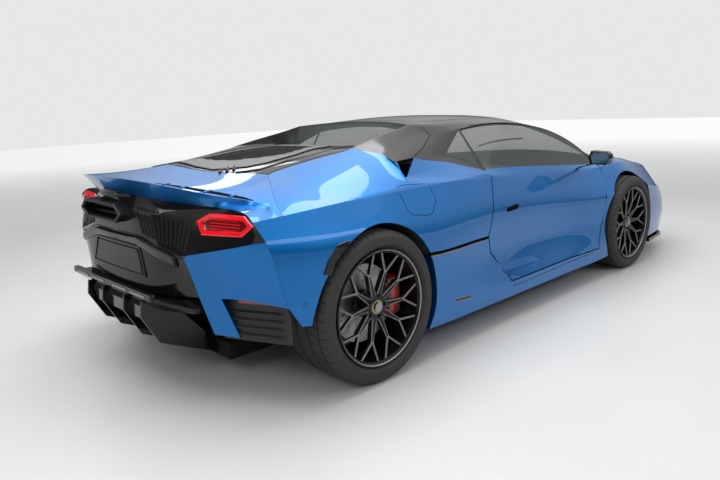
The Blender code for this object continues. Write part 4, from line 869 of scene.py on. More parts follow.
# Openings in the painted panels: holes for the lamps, the exhaust and the intakes, and the scoop pressed into
# the foot of each door.
TAIL_LAMP = drawn([(-0.80, 0.548, 0.832), (-0.80, 0.605, 0.866), (-0.80, 0.820, 0.868), (-0.80, 0.872, 0.832),
                   (-0.80, 0.820, 0.786), (-0.80, 0.605, 0.780)])
HEAD_LAMP = drawn([(3.25, 0.735, 0.50), (3.30, 0.640, 0.50), (3.50, 0.530, 0.50), (3.52, 0.600, 0.50),
                   (3.42, 0.690, 0.50)])
EXHAUST = drawn([(-0.850, 0.225, 0.857), (-0.850, 0.165, 0.815), (-0.850, -0.165, 0.815),
                 (-0.850, -0.225, 0.857), (-0.850, -0.165, 0.903), (-0.850, 0.165, 0.903)])
INTAKE = drawn([(3.30, 0.370, 0.190), (3.30, 0.770, 0.205), (3.30, 0.800, 0.300), (3.30, 0.745, 0.405),
                (3.30, 0.600, 0.432), (3.30, 0.430, 0.330)])
INTAKE_CENTRE = drawn([(3.30, -0.310, 0.180), (3.30, 0.310, 0.180), (3.30, 0.370, 0.260),
                       (3.30, -0.370, 0.260)])
SCOOP = drawn([(0.96, 1.03, 0.374), (1.06, 1.03, 0.278), (1.76, 1.03, 0.297),
               (0.96, 0.896, 0.370), (1.06, 0.908, 0.284), (1.76, 0.940, 0.297)])


def flipped(points, side):
    """The points on this side of the car."""
    return [Vector((p[0], p[1] * side, p[2])) for p in points]


def hull(points):
    """The block that wraps these points."""
    made = bmesh.new()
    verts = [made.verts.new(p) for p in points]
    bmesh.ops.convex_hull(made, input=verts)
    bmesh.ops.recalc_face_normals(made, faces=made.faces[:])
    return mesh_piece("hull", made, [])


def open_up(name, cutters):
    """Cuts several blocks out of one shell."""
    bpy.ops.object.select_all(action="DESELECT")
    for cutter in cutters:
        cutter.select_set(True)
    bpy.context.view_layer.objects.active = cutters[0]
    bpy.ops.object.join()
    cut_out(shells[name], cutters[0], crossing=True)
    shade(shells[name].data)


open_up("rear_bumper", [prism("lamp_hole", flipped(TAIL_LAMP, side), (0.35, 0, 0)) for side in SIDES.values()]
        + [prism("exhaust_hole", EXHAUST, (0.25, 0, 0))])
open_up("front_bumper", [prism("lamp_hole", flipped(HEAD_LAMP, side), (0, 0, 0.40))
                         for side in SIDES.values()]
        + [prism("intake_hole", flipped(INTAKE, side), (0.55, 0, 0)) for side in SIDES.values()]
        + [prism("intake_hole", INTAKE_CENTRE, (0.55, 0, 0))])
for side_name, side in SIDES.items():
    open_up(f"door_{side_name}", [hull(flipped(SCOOP, side))])


def pushed(outline, by, way=(1, 0, 0)):
    """A flat outline moved outwards by this distance, seen along the direction way."""
    centre = sum(outline, Vector()) / len(outline)
    out = []
    for before, here, after in zip(outline[-1:] + outline[:-1], outline, outline[1:] + outline[:1]):
        normals = []
        for a, b in ((before, here), (here, after)):
            normal = Vector(way).cross(b - a).normalized()
            normals.append(normal if normal.dot((a + b) / 2 - centre) > 0 else -normal)
        bisector = (normals[0] + normals[1]).normalized()
        out.append(here + bisector * by / bisector.dot(normals[0]))
    return out


def on_skin(point, way, lift=0.0):
    """Where a line along way from this point meets the body's skin, stood off by lift."""
    place, normal, _, _ = skin_tree.ray_cast(Vector(point), Vector(way))
    if place is None:
        place, normal, _, _ = skin_tree.find_nearest(Vector(point))
    return place + (normal if normal.dot(Vector(way)) < 0 else -normal) * lift


def ribbon(made, rows, closed=False, index=0):
    """Faces between neighbouring rows of points."""
    rows = [[made.verts.new(p) for p in row] for row in rows]
    for low, high in zip(rows, rows[1:]):
        count = len(low)
        for i in range(count if closed else count - 1):
            j = (i + 1) % count
            made.faces.new((low[i], low[j], high[j], high[i])).material_index = index
    return rows


def dense(outline, step=0.02, closed=True):
    """The outline with points added, so that none is further from the next than step."""
    outline = [Vector(p) for p in outline]
    out = []
    for a, b in zip(outline, outline[1:] + outline[:1] if closed else outline[1:]):
        count = max(round((b - a).length / step), 1)
        out += [a.lerp(b, i / count) for i in range(count)]
    return out if closed else out + [outline[-1]]


def tidy(made, dist=0.00005):
    """Closes a mesh's doubled seams and turns its faces outwards."""
    bmesh.ops.remove_doubles(made, verts=made.verts[:], dist=dist)
    bmesh.ops.recalc_face_normals(made, faces=made.faces[:])
    return made


def tube(made, sections, loop=False, index=0):
    """A closed bar through closed cross-sections, capped at its ends unless it is a loop."""
    rows = ribbon(made, sections + sections[:1] if loop else sections, True, index)
    if not loop:
        made.faces.new(rows[0][::-1]).material_index = index
        made.faces.new(rows[-1]).material_index = index


def plate_on_skin(name, outline, way, lift, thick, finishes, step=0.018, edge=0.0):
    """A thin plate with a bevelled edge that follows the skin inside an outline."""
    made = bmesh.new()
    rim = dense(outline, step)
    centre = sum(rim, Vector()) / len(rim)
    span = sum((p - centre).length for p in rim) / len(rim)
    lip = max(edge / span, 0.02)
    rows = [[on_skin(centre.lerp(p, share), way, height) for p in rim]
            for share, height in ((0.0002, lift), (0.33, lift), (0.66, lift), (1 - lip, lift),
                                  (1, lift - edge), (1, lift - thick), (0.5, lift - thick),
                                  (0.0002, lift - thick))]
    ribbon(made, rows, closed=True)
    return mesh_piece(name, tidy(made, 0.0003), finishes, TRIM_BEND)


def line_on_skin(name, points, way, wide, finishes, lift=0.0004, deep=0.002, loop=False, step=0.02,
                 crown=0.8):
    """A narrow strip along a line on the skin, such as a shut line, a seam or a thin moulding."""
    path = dense(points, step, loop)
    places = [on_skin(p, way) for p in path]
    sections = []
    for i, place in enumerate(places):
        before = places[i - 1] if i or loop else place
        after = places[(i + 1) % len(places)] if i + 1 < len(places) or loop else place
        along = (after - before).normalized()
        normal = (on_skin(path[i], way, 0.01) - place).normalized()
        across = normal.cross(along).normalized() * wide / 2
        sections.append([place - across - normal * deep, place - across + normal * lift * 0.3,
                         place - across * crown + normal * lift, place + across * crown + normal * lift,
                         place + across + normal * lift * 0.3, place + across - normal * deep])
    made = bmesh.new()
    tube(made, sections, loop)
    return mesh_piece(name, tidy(made), finishes, TRIM_BEND)


# Tyres: black rubber on each wheel, with a ribbed sidewall and a road tread of four grooves and slanted
# sipes. The tread blocks are cut into the turned casing, which the bead holds on the rim.
def turned(name, profile, centre, finishes, steps=180):
    """A ring turned about the wheel's axis from a closed profile of (radius, across) points."""
    made = bmesh.new()
    verts = [made.verts.new((0, y, -r)) for r, y in profile]
    for a, b in zip(verts, verts[1:] + verts[:1]):
        made.edges.new((a, b))
    bmesh.ops.spin(made, geom=made.verts[:] + made.edges[:], cent=(0, 0, 0), axis=(0, 1, 0),
                   angle=2 * math.pi, steps=steps, use_merge=True)
    bmesh.ops.remove_doubles(made, verts=made.verts[:], dist=0.00005)
    bmesh.ops.recalc_face_normals(made, faces=made.faces[:])
    bmesh.ops.translate(made, vec=centre, verts=made.verts[:])
    return mesh_piece(name, made, finishes, TURNED_BEND)


def rubber():
    """Tyre rubber: a dusty matt black, a little paler where it is worn, with fine moulding lines."""
    made, start, inputs = finish("tyre_rubber_compound")
    cloud = noise(start, 14.0, 5, 0.6)
    grit = noise(start, 700.0, 2)
    wire(inputs, "Base Color", (cloud * 0.7 + grit * 0.3).mix((0.012, 0.012, 0.012), (0.034, 0.033, 0.032)))
    wire(inputs, "Roughness", 0.62 + cloud * 0.2)
    wire(inputs, "Normal", bump(start, grit, 0.0003, 0.5))
    return made


def tyre_outline(size):
    """Cross-section of the casing, with tread grooves, as (radius, across) points."""
    seat, bead = size["flange_r"] - 0.0137, size["rim_w"] / 2 - 0.0103
    half, radius = size["tyre_w"] / 2, size["tyre_r"]
    side = [(seat, bead), (size["flange_r"] + 0.004, bead), (size["flange_r"] + 0.007, bead + 0.006),
            (size["flange_r"] + 0.016, half - 0.002), (size["flange_r"] + 0.019, half - 0.003),
            (size["flange_r"] + 0.022, half - 0.0005), (radius - 0.040, half), (radius - 0.036, half - 0.002),
            (radius - 0.033, half - 0.001), (radius - 0.020, half - 0.006), (radius - 0.010, half - 0.016),
            (radius - 0.003, half - 0.030)]
    tread = []
    for k in (-3, -1, 1, 3):
        middle = k * half * 0.235
        tread += [(radius, middle - 0.0062), (radius - 0.007, middle - 0.0042),
                  (radius - 0.007, middle + 0.0042), (radius, middle + 0.0062)]
    tread = [(r - 0.004 * (y / half) ** 4, y) for r, y in tread]
    return [(r, -y) for r, y in side] + tread + [(r, y) for r, y in reversed(side)]


tyre_finish = rubber()
CORNERS = [(f"{place}_{side_name}", size, Vector((x, side * size["half_track"], size["tyre_r"])), side)
           for place, size, x in (("front", FRONT_WHEEL, FRONT_AXLE_X), ("rear", REAR_WHEEL, REAR_AXLE_X))
           for side_name, side in SIDES.items()]
for name, size, centre, side in CORNERS:
    tyre = turned(f"tread_tyre_{name}", tyre_outline(size), centre, [tyre_finish])
    made = bmesh.new()
    half = size["tyre_w"] / 2
    for k in range(54):
        for low, high, lean in ((0.30, 0.93, 1), (-0.93, -0.30, -1)):
            turn = Matrix.Rotation(2 * math.pi * (k + 0.25 * (lean < 0)) / 54, 4, "Y")
            corners = []
            for y, slip in ((low * half, -0.004 * lean), (high * half, 0.009 * lean)):
                for x in (-0.0014, 0.0014):
                    for z in (size["tyre_r"] - 0.0055 - 0.016 * (abs(y) > 0.8 * half),
                              size["tyre_r"] + 0.004):
                        corners.append(turn @ Vector((x + slip * side, y, z)))
            verts = [made.verts.new(centre + c) for c in corners]
            for loop in ((0, 1, 3, 2), (4, 6, 7, 5), (0, 2, 6, 4), (1, 5, 7, 3), (0, 4, 5, 1), (2, 3, 7, 6)):
                made.faces.new([verts[i] for i in loop])
    bmesh.ops.recalc_face_normals(made, faces=made.faces[:])
    cut_out(tyre, mesh_piece("sipes", made, []))
    shade(tyre.data, TURNED_BEND)
    fix(tyre, f"wheel_{name}", f"tyre_{name}")


# Wheels: forged alloy in satin black, ten forked spokes whose front edges are machined bright, five bolts
# round a plain cap, and the cross-drilled brake disc bolted on behind.
def alloy(name, dark, light, roughness, metallic):
    """Metal whose colour and roughness vary a little in clouds, with fine scratches."""
    made, start, inputs = finish(name)
    cloud = noise(start, 30.0, 4)
    scratch = noise(start, 900.0, 2)
    wire(inputs, "Base Color", (cloud * 0.5 + scratch * 0.5).mix(dark, light))
    wire(inputs, "Roughness", roughness + cloud * 0.08 + scratch * 0.06)
    wire(inputs, "Metallic", metallic)
    wire(inputs, "Normal", bump(start, scratch, 0.00003, 0.5))
    return made


def turned_metal(name, dark, light, rings):
    """Metal with the fine rings that a lathe or a brake pad leaves round the wheel's own centre."""
    made, start, inputs = finish(name)
    across = start.node("ShaderNodeAttribute", {"attribute_name": "reach"}, out="Fac")
    ring = start.node("ShaderNodeTexNoise", {"noise_dimensions": "1D"}, {"W": across * rings, "Scale": 1.0,
                                                                      "Detail": 3.0})
    wire(inputs, "Base Color", ring.mix(dark, light))
    wire(inputs, "Roughness", 0.28 + ring * 0.14)
    wire(inputs, "Metallic", 1.0)
    wire(inputs, "Normal", bump(start, ring, 0.0001, 0.4))
    return made


def mark_reach(piece, centre):
    """Notes each point's distance from the wheel's axis on the mesh, for rings in the finish."""
    layer = piece.data.attributes.new("reach", "FLOAT", "POINT")
    for vert, item in zip(piece.data.vertices, layer.data):
        item.value = math.hypot(vert.co.x - centre.x, vert.co.z - centre.z)


black_alloy = alloy("black_forged_alloy", (0.005, 0.005, 0.006), (0.012, 0.012, 0.013), 0.24, 0.5)
bright_edge = alloy("machined_alloy_edge", (0.24, 0.24, 0.235), (0.34, 0.34, 0.33), 0.34, 0.25)
disc_metal = turned_metal("ground_brake_disc", (0.24, 0.24, 0.25), (0.46, 0.46, 0.47), 900.0)
champagne = alloy("champagne_centre_cap", (0.30, 0.24, 0.13), (0.38, 0.31, 0.18), 0.45, 0.5)
zinc = alloy("zinc_plated_bolts", (0.25, 0.25, 0.26), (0.40, 0.40, 0.41), 0.35, 1.0)
SPOKES = 10


def spoke_bar(made, a, b, wide_a, wide_b, front_a, front_b, deep, edge=0.0016):
    """One straight arm of a spoke between two points of the wheel's face, bright along each edge."""
    way = (b - a).normalized()
    across = Vector((-way.z, 0, way.x))
    rings = []
    for point, wide, front in ((a, wide_a, front_a), (b, wide_b, front_b)):
        half = wide / 2
        rings.append([made.verts.new(point + across * x + Vector((0, y, 0)))
                      for x, y in ((-half * 0.55, front - deep), (-half, front - 0.004),
                                   (-half + edge * 0.3, front), (-half + edge, front),
                                   (-half + edge * 1.5, front - 0.0022), (half - edge * 1.5, front - 0.0022),
                                   (half - edge, front),
                                   (half - edge * 0.3, front), (half, front - 0.004),
                                   (half * 0.55, front - deep))])
    count = len(rings[0])
    for i in range(count):
        j = (i + 1) % count
        made.faces.new((rings[0][i], rings[0][j], rings[1][j], rings[1][i])).material_index = int(i in (1, 2,
                                                                                                        6, 7))
    made.faces.new(rings[0][::-1])
    made.faces.new(rings[1])


def on_face(radius, turn, turns=SPOKES):
    """A point of the wheel's face, so many parts of a turn round."""
    angle = 2 * math.pi * turn / turns
    return Vector((math.cos(angle), 0, math.sin(angle))) * radius


def plug(made, place, radii, deep, sides, index=0, turn=-math.pi / 2):
    """Adds a short bar that lies across the wheel, with this number of sides and this finish."""
    before = len(made.faces)
    bmesh.ops.create_cone(made, cap_ends=True, segments=sides, radius1=radii[0], radius2=radii[1], depth=deep,
                          matrix=Matrix.Translation(place) @ Matrix.Rotation(turn, 4, "X"))
    made.faces.ensure_lookup_table()
    for face in made.faces[before:]:
        face.material_index = index


for name, size, centre, side in CORNERS:
    flange, half = size["flange_r"], size["rim_w"] / 2
    seat = flange - 0.014
    profile = [(flange - 0.002, -half), (flange, -half + 0.003), (flange, -half + 0.010),
               (seat, -half + 0.012), (seat, half - 0.012), (flange, half - 0.010), (flange, half - 0.003),
               (flange - 0.002, half), (flange - 0.008, half), (flange - 0.012, half - 0.004),
               (seat - 0.008, half - 0.014), (seat - 0.010, half - 0.040), (seat - 0.016, -half + 0.05),
               (seat - 0.012, -half + 0.008),
               (flange - 0.008, -half)]
    barrel = turned(f"wheel_barrel_{name}", profile, Vector(), [black_alloy, bright_edge], 120)
    for face in barrel.data.polygons:
        if face.center.y > half - 0.0045 and math.hypot(face.center.x, face.center.z) < flange - 0.007:
            face.material_index = 1
    made = bmesh.new()
    made.from_mesh(barrel.data)
    bpy.data.objects.remove(barrel)
    rim_y, hub_y = half - 0.016, half - 0.040
    for k in range(SPOKES):
        root, fork = on_face(0.040, k), on_face(flange * 0.60, k)
        spoke_bar(made, root, fork, 0.030, 0.013, hub_y, rim_y - 0.008, 0.034, 0.0026)
        for way in (-1, 1):
            spoke_bar(made, fork - on_face(0.004, k), on_face(flange - 0.010, k + way * 0.37), 0.0085, 0.0085,
                      rim_y - 0.0078, rim_y, 0.022, 0.0030)
    for radius, deep, front in ((0.068, 0.070, hub_y + 0.002), (0.036, 0.02, hub_y + 0.006)):
        for low, high, end in ((front - deep, front - 0.003, radius), (front - 0.003, front, radius - 0.003)):
            plug(made, (0, (low + high) / 2, 0), (radius, end), high - low, 48)
    plug(made, (0, hub_y + 0.009, 0), (0.026, 0.023), 0.012, 40, 3)
    for k in range(5):
        plug(made, on_face(0.052, k, 5) + Vector((0, hub_y + 0.004, 0)), (0.0085, 0.0085), 0.014, 6, 2)
    if side < 0:
        bmesh.ops.scale(made, vec=(1, -1, 1), verts=made.verts[:])
        bmesh.ops.reverse_faces(made, faces=made.faces[:])
    bmesh.ops.translate(made, vec=centre, verts=made.verts[:])
    wheel = mesh_piece(f"forked_wheel_{name}", made, [black_alloy, bright_edge, zinc, champagne], 25)
    disc_profile = [(0.066, 0.0155), (0.095, 0.0155), (0.098, 0.0158), (0.188, 0.0158), (0.190, 0.0130),
                    (0.190, 0.0060), (0.150, 0.0045), (0.150, -0.0045), (0.190, -0.0060), (0.190, -0.0130),
                    (0.188, -0.0158),
                    (0.066, -0.0158)]
    disc = turned(f"brake_disc_{name}", disc_profile, centre, [disc_metal], 120)
    made = bmesh.new()
    for k in range(48):
        place = centre + on_face(0.112 + 0.022 * (k % 4), k + 0.35 * (k % 4), 48)
        plug(made, place, (0.0036, 0.0036), 0.05, 10, turn=math.pi / 2)
    cut_out(disc, mesh_piece("drill", made, []))
    disc.data.set_sharp_from_angle(angle=math.radians(TURNED_BEND))
    mark_reach(disc, centre)
    fix(wheel, f"wheel_{name}", f"wheel_{name}")
    fix(disc, f"wheel_{name}")


# Brake calipers: cast in one block over the disc's edge, fuller in the middle, and lacquered red. The
# front ones are bolted to the knuckles, which turn with the steering.
caliper_red = grainy("caliper_lacquer_red", (0.55, 0.020, 0.012), (0.36, 0.010, 0.008), 0.28, coat=0.6,
                     scale=300, height=0.00005)
cast_steel = grainy("cast_suspension_steel", (0.17, 0.17, 0.18), (0.08, 0.08, 0.085), 0.52, metallic=0.8,
                    scale=260, height=0.0004)
for name, size, centre, side in CORNERS:
    ahead = -1 if "front" in name else 1
    made = bmesh.new()
    rings = []
    steps = 13
    for i in range(steps):
        angle = math.radians(-27 + 54 * i / (steps - 1))
        swell = 0.004 * math.cos(angle * 3)
        ring = []
        for r, y in ((0.146, 0.0215), (0.146, 0.040), (0.165, 0.0462), (0.210, 0.0462), (0.2235, 0.034),
                     (0.2235, -0.070),
                     (0.210, -0.079), (0.150, -0.079), (0.150, -0.0215), (0.196, -0.0215), (0.196, 0.0215)):
            r += swell * (r > 0.2)
            ring.append(made.verts.new(centre + Vector((ahead * math.cos(angle) * min(r, 0.2215), side * y,
                                                        math.sin(angle) * min(r, 0.2215)))))
        rings.append(ring)
    count = len(rings[0])
    for low, high in zip(rings, rings[1:]):
        for i in range(count):
            j = (i + 1) % count
            made.faces.new((low[i], low[j], high[j], high[i]))
    made.faces.new(rings[0])
    made.faces.new(rings[-1])
    bmesh.ops.recalc_face_normals(made, faces=made.faces[:])
    bmesh.ops.bevel(made, geom=[e for e in made.edges if e.calc_face_angle(0) > math.radians(40)],
                    offset=0.0025, segments=2, affect="EDGES", clamp_overlap=True)
    caliper = mesh_piece(f"red_caliper_{name}", made, [caliper_red])
    fix(caliper, f"knuckle_{name[6:]}" if "front" in name else "body")
for node in ("knuckle_front_left", "knuckle_front_right", "rear_suspension", "front_suspension"):
    frame["nodes"][node].data.materials[0] = cast_steel


# Tail panel: a black gloss moulding between the painted corners, with a slatted grille across it at lamp
# height, a blank number plate in its surround under a grey bar, and a grey strip over the exhaust.
graphite = alloy("graphite_grey_bar", (0.045, 0.047, 0.050), (0.085, 0.087, 0.09), 0.26, 0.6)
slat_black = grainy("slatted_grille_black", (0.009, 0.009, 0.009), (0.004, 0.004, 0.004), 0.45, scale=500,
                    height=0.0002, shine=0.25)
# Near black that reflects almost nothing, for openings where only shade would be seen: painted shade in the
# deck slots, the hexagon holes, the air slots, the door grips and the backs of the intakes.
painted_shade_black = grainy("painted_shade_in_openings", (0.003, 0.003, 0.003), (0.001, 0.001, 0.001), 0.85, scale=200,
                    shine=0.05)
seam_black = grainy("panel_seam_shadow", (0.004, 0.004, 0.005), (0.002, 0.002, 0.002), 0.85, scale=200,
                    shine=0.05)
plate_black = grainy("blank_plate_black", (0.020, 0.020, 0.022), (0.013, 0.013, 0.014), 0.30, scale=400,
                     height=0.0001)
AHEAD = (1, 0, 0)
TAIL_CLEAR = -1.1
BEHIND = -3


def from_behind(points, side=1):
    """World points of a list drawn as (y, z), clear of the tail, on this side of the car."""
    return flipped(drawn([(TAIL_CLEAR, y, z) for y, z in points]), side)


plate = plate_on_skin("number_plate_blank",
                      from_behind([(0.215, 0.690), (-0.215, 0.690), (-0.262, 0.585), (0.262, 0.585)]), AHEAD,
                      0.007, 0.011, [plate_black], edge=0.003)
rim = line_on_skin("plate_surround",
                   from_behind([(0.232, 0.702), (-0.232, 0.702), (-0.285, 0.575), (0.285, 0.575)]), AHEAD,
                   0.010, [piano_black], 0.006, 0.003, True)
fix([plate, rim], "body")
for side_name, side in SIDES.items():
    low = from_behind([(0.000, 0.716), (0.215, 0.712), (0.500, 0.640)], side)
    high = from_behind([(0.000, 0.744), (0.232, 0.746), (0.520, 0.672)], side)
    made = bmesh.new()
    tube(made, [[on_skin(a, AHEAD, -0.003), on_skin(a, AHEAD, 0.008), on_skin(a.lerp(b, 0.25), AHEAD, 0.014),
                 on_skin(b, AHEAD, 0.016), on_skin(b, AHEAD, -0.003)]
                for a, b in zip(dense(low, 0.03, False), dense(high, 0.03, False))])
    bar = mesh_piece(f"plate_bar_{side_name}", tidy(made), [graphite], TRIM_BEND)
    made = bmesh.new()
    for k in range(13):
        y = 0.245 + 0.023 * k
        top, foot = 0.884 - 0.05 * k / 12, 0.765 - 0.060 * k / 12
        sections = []
        for t in (0, 0.25, 0.5, 0.75, 1):
            middle, z = y + 0.030 * t, top + (foot - top) * t
            sections.append([on_skin((BEHIND, side * (middle + dy), z), AHEAD, lift)
                             for dy, lift in ((-0.0085, -0.003), (-0.006, 0.003), (0.006, 0.003),
                                              (0.0085, -0.003))])
        tube(made, sections)
    slats = mesh_piece(f"tail_slats_{side_name}", tidy(made), [slat_black], TRIM_BEND)
    groove = line_on_skin(f"tail_panel_seam_{side_name}", from_behind([
        (0.02, 0.758), (0.235, 0.757), (0.545, 0.684), (0.600, 0.720)], side), AHEAD, 0.005, [slat_black],
                          0.0006)
    fix([bar, slats, groove], "body")
strip = plate_on_skin("grey_strip_over_exhaust", [Vector((BEHIND, y, z)) for y, z in (
    (0.150, 0.936), (-0.150, 0.936), (-0.185, 0.920), (0.185, 0.920))], AHEAD, 0.003, 0.006, [graphite],
                      edge=0.001)
fix(strip, "body")


# Tail lamps: a hexagonal red lens whose bright outer ring is a light guide, round a darker field of thin
# lines. Each lens is clipped into its opening in the tail panel.
def lamp_glow(name, color, glow, strength):
    """Moulded lamp plastic that is lit from behind, with the faint ribs of its light guide."""
    made, start, inputs = finish(name)
    cloud = noise(start, 50.0, 3)
    wire(inputs, "Base Color", cloud.mix(color, [c * 0.7 for c in color]))
    wire(inputs, "Roughness", 0.12 + cloud * 0.06)
    wire(inputs, "Emission Color", cloud.mix(glow, [c * 0.8 for c in glow]))
    wire(inputs, "Emission Strength", strength)
    wire(inputs, "Coat Weight", 0.4)
    return made


ring_red = lamp_glow("lamp_ring_red", (0.55, 0.004, 0.010), (1.0, 0.004, 0.020), 0.34)
field_red = lamp_glow("lamp_field_dark_red", (0.07, 0.001, 0.003), (0.30, 0.001, 0.004), 0.22)
line_red = lamp_glow("lamp_line_red", (0.55, 0.006, 0.012), (0.90, 0.006, 0.014), 0.18)


def ring_at(outline, inset, lift, way, step):
    """An outline's points, inset, laid on the skin. Each inset has as many points as the next."""
    corners = pushed(outline, -inset, way)
    out = []
    for i, here in enumerate(outline):
        j = (i + 1) % len(outline)
        count = max(round((outline[j] - here).length / step), 1)
        out += [on_skin(corners[i].lerp(corners[j], t / count), way, lift) for t in range(count)]
    return out


def let_in(outline, way, step, bands, faces):
    """A moulding in an opening, from bands of a finish's number and (inset, lift) pairs, and flat faces."""
    made = bmesh.new()
    for index, steps in bands:
        ribbon(made, [ring_at(outline, inset, lift, way, step) for inset, lift in steps], True, index)
    for inset, lift in faces:
        ring = ring_at(outline, inset, lift, way, step)
        made.faces.new([made.verts.new(p) for p in ring]).material_index = 1
    return tidy(made, 0.0002)


for side_name, side in SIDES.items():
    made = let_in(flipped(TAIL_LAMP, side), AHEAD, 0.016, (
        (0, ((0.0005, -0.012), (0.0005, 0.0), (0.004, 0.004), (0.017, 0.005), (0.020, -0.002))),
        (1, ((0.020, -0.002), (0.024, -0.006), (0.034, -0.007)))), ((0.034, -0.007), (0.0005, -0.012)))
    for k in range(4):
        z = 0.808 + 0.012 * k
        reach = 0.095 - abs(z - 0.826) * 1.3
        tube(made, [[on_skin((BEHIND, side * (0.708 + reach * (t / 4 - 1)), z + dz), AHEAD, lift)
                     for dz, lift in ((-0.0022, -0.0075), (-0.0014, -0.0045), (0.0014, -0.0045),
                                      (0.0022, -0.0075))]
                    for t in range(9)], index=2)
    bmesh.ops.recalc_face_normals(made, faces=made.faces[:])
    lamp = mesh_piece(f"tail_lens_{side_name}", made, [ring_red, field_red, line_red], TRIM_BEND)
    fix(lamp, "body", f"tail_lamp_{side_name}")


# Exhaust: one wide hexagonal outlet in blackened steel, pressed as two nested rings, with the sooty bore of
# the pipe inside it.
def nested(steps):
    """Rings of the exhaust's hexagon, each inset from its outline and set back from its lip."""
    return [[p + Vector((back, 0, 0)) for p in pushed(EXHAUST, -inset)] for inset, back in steps]


heat_black = alloy("blackened_exhaust_steel", (0.020, 0.019, 0.018), (0.045, 0.043, 0.041), 0.34, 0.85)
soot = grainy("sooty_exhaust_bore", (0.012, 0.011, 0.010), (0.004, 0.004, 0.004), 0.85, scale=300,
              height=0.001)
made = bmesh.new()
ribbon(made,
       nested(((0.0005, 0.165), (0.0005, 0.004), (0.003, 0.0), (0.012, 0.0), (0.015, 0.006), (0.016, 0.060),
               (0.024, 0.062), (0.026, 0.045), (0.034, 0.045), (0.036, 0.052))), closed=True)
ribbon(made, nested(((0.036, 0.052), (0.037, 0.16))), closed=True, index=1)
for steps in ((0.037, 0.16), (0.0005, 0.165)):
    made.faces.new([made.verts.new(p) for p in nested((steps,))[0]]).material_index = 1
outlet = mesh_piece("hexagonal_exhaust", tidy(made, 0.0001), [heat_black, soot], 25)
fix(outlet, "body", "exhaust")


# Black slots under the tail's lip: each side a long near-black strip of painted shade stands for the dark
# slot, bridged by small painted ribs, moulded into the painted deck just ahead of its edge.
DOWN = (0, 0, -1)
ABOVE = 1.5


def from_above(points, side=1):
    """World points of a list of (metres ahead of the rear axle, y), over this side of the car."""
    return flipped(drawn([(x, y, ABOVE) for x, y in points]), side)


for side_name, side in SIDES.items():
    edge, ahead = flipped(spline(DECK_REAR, 41), side), flipped(spline(DECK_MID, 41), side)
    sections = []
    for i in range(3, 24):
        wide = min((i - 2) / 3, (24 - i) / 6, 1)
        near, far = edge[i].lerp(ahead[i], 0.10), edge[i].lerp(ahead[i], 0.10 + 0.16 * wide)
        sections.append([on_skin(p + Vector((0, 0, 0.2)), DOWN, lift)
                         for p, lift in ((near, -0.003), (near, 0.0008), (far, 0.0008), (far, -0.003))])
    # The slot itself is painted shade: a near-black strip laid on the deck.
    made = bmesh.new()
    tube(made, sections)
    slot = mesh_piece(f"tail_slot_{side_name}", tidy(made), [painted_shade_black], TRIM_BEND)
    made = bmesh.new()
    for i in (7, 12, 17, 21):
        near, far = edge[i].lerp(ahead[i], 0.08), edge[i].lerp(ahead[i], 0.28)
        way = (edge[i + 1] - edge[i]).normalized() * 0.007
        tube(made, [[on_skin(p + shift + Vector((0, 0, 0.2)), DOWN, lift)
                     for shift, lift in ((-way, -0.002), (-way * 0.6, 0.004), (way * 0.6, 0.004),
                                         (way, -0.002))]
                    for p in (near, near.lerp(far, 0.5), far)])
    ribs = mesh_piece(f"tail_slot_ribs_{side_name}", tidy(made), [blue_paint], TRIM_BEND)
    fix(slot, "body")
    fix(ribs, "body")


# Diffuser: its shelf, pan and strakes are moulded in one, in black gloss, with bright metal inserts in the
# shelf's lip.
frame["nodes"]["diffuser"].data.materials[0] = piano_black
steel_insert = alloy("bright_shelf_inserts", (0.22, 0.22, 0.23), (0.40, 0.40, 0.41), 0.22, 1.0)
for side_name, side in SIDES.items():
    made = bmesh.new()
    for y0, y1 in ((0.05, 0.20), (0.24, 0.385)):
        tube(made, [[Vector((station(x), side * y, z)) for x,
                     z in ((-0.8545, 0.506), (-0.8545, 0.516), (-0.851, 0.520),
                          (-0.851, 0.502))] for y in (y0, y1)])
    fix(mesh_piece(f"shelf_inserts_{side_name}", tidy(made), [steel_insert], TRIM_BEND), "body")


# Engine cover: a black lacquered lid with a raised grey centre plate, perforated with hexagons over the
# engine whose holes are closed with painted shade, and three cooling blades in each rear corner. Everything
# here opens with the lid.
grey_plate = grainy("satin_grey_cover_plate", (0.120, 0.122, 0.126), (0.085, 0.086, 0.090), 0.42,
                    metallic=0.3, coat=0.1, scale=420, height=0.00004)
half = [(-0.420, 0.000), (-0.415, 0.140), (-0.385, 0.250), (-0.236, 0.326), (-0.145, 0.340), (0.076, 0.312),
        (0.220, 0.262), (0.400, 0.215), (0.415, 0.000)]
outline = from_above(half + [(x, -y) for x, y in half[-2:0:-1]])
centre_plate = plate_on_skin("cover_centre_plate", outline, DOWN, 0.007, 0.010, [grey_plate], 0.03, 0.005)
centre_ridge = line_on_skin("cover_plate_ridge", outline, DOWN, 0.006, [piano_black], 0.0045, 0.003, True,
                            0.03)
fix([centre_plate, centre_ridge], "engine_cover")
field = [(-0.290, 0.060), (-0.270, 0.115), (-0.206, 0.165), (-0.082, 0.215), (0.039, 0.255), (0.130, 0.235),
         (0.290, 0.170), (0.300, 0.000)]
field += [(x, -y) for x, y in field[-2::-1]]


def within(x, y, outline):
    """Whether a point lies in a flat outline."""
    found = False
    for (x0, y0), (x1, y1) in zip(outline, outline[1:] + outline[:1]):
        if (y0 > y) != (y1 > y) and x < x0 + (y - y0) * (x1 - x0) / (y1 - y0):
            found = not found
    return found


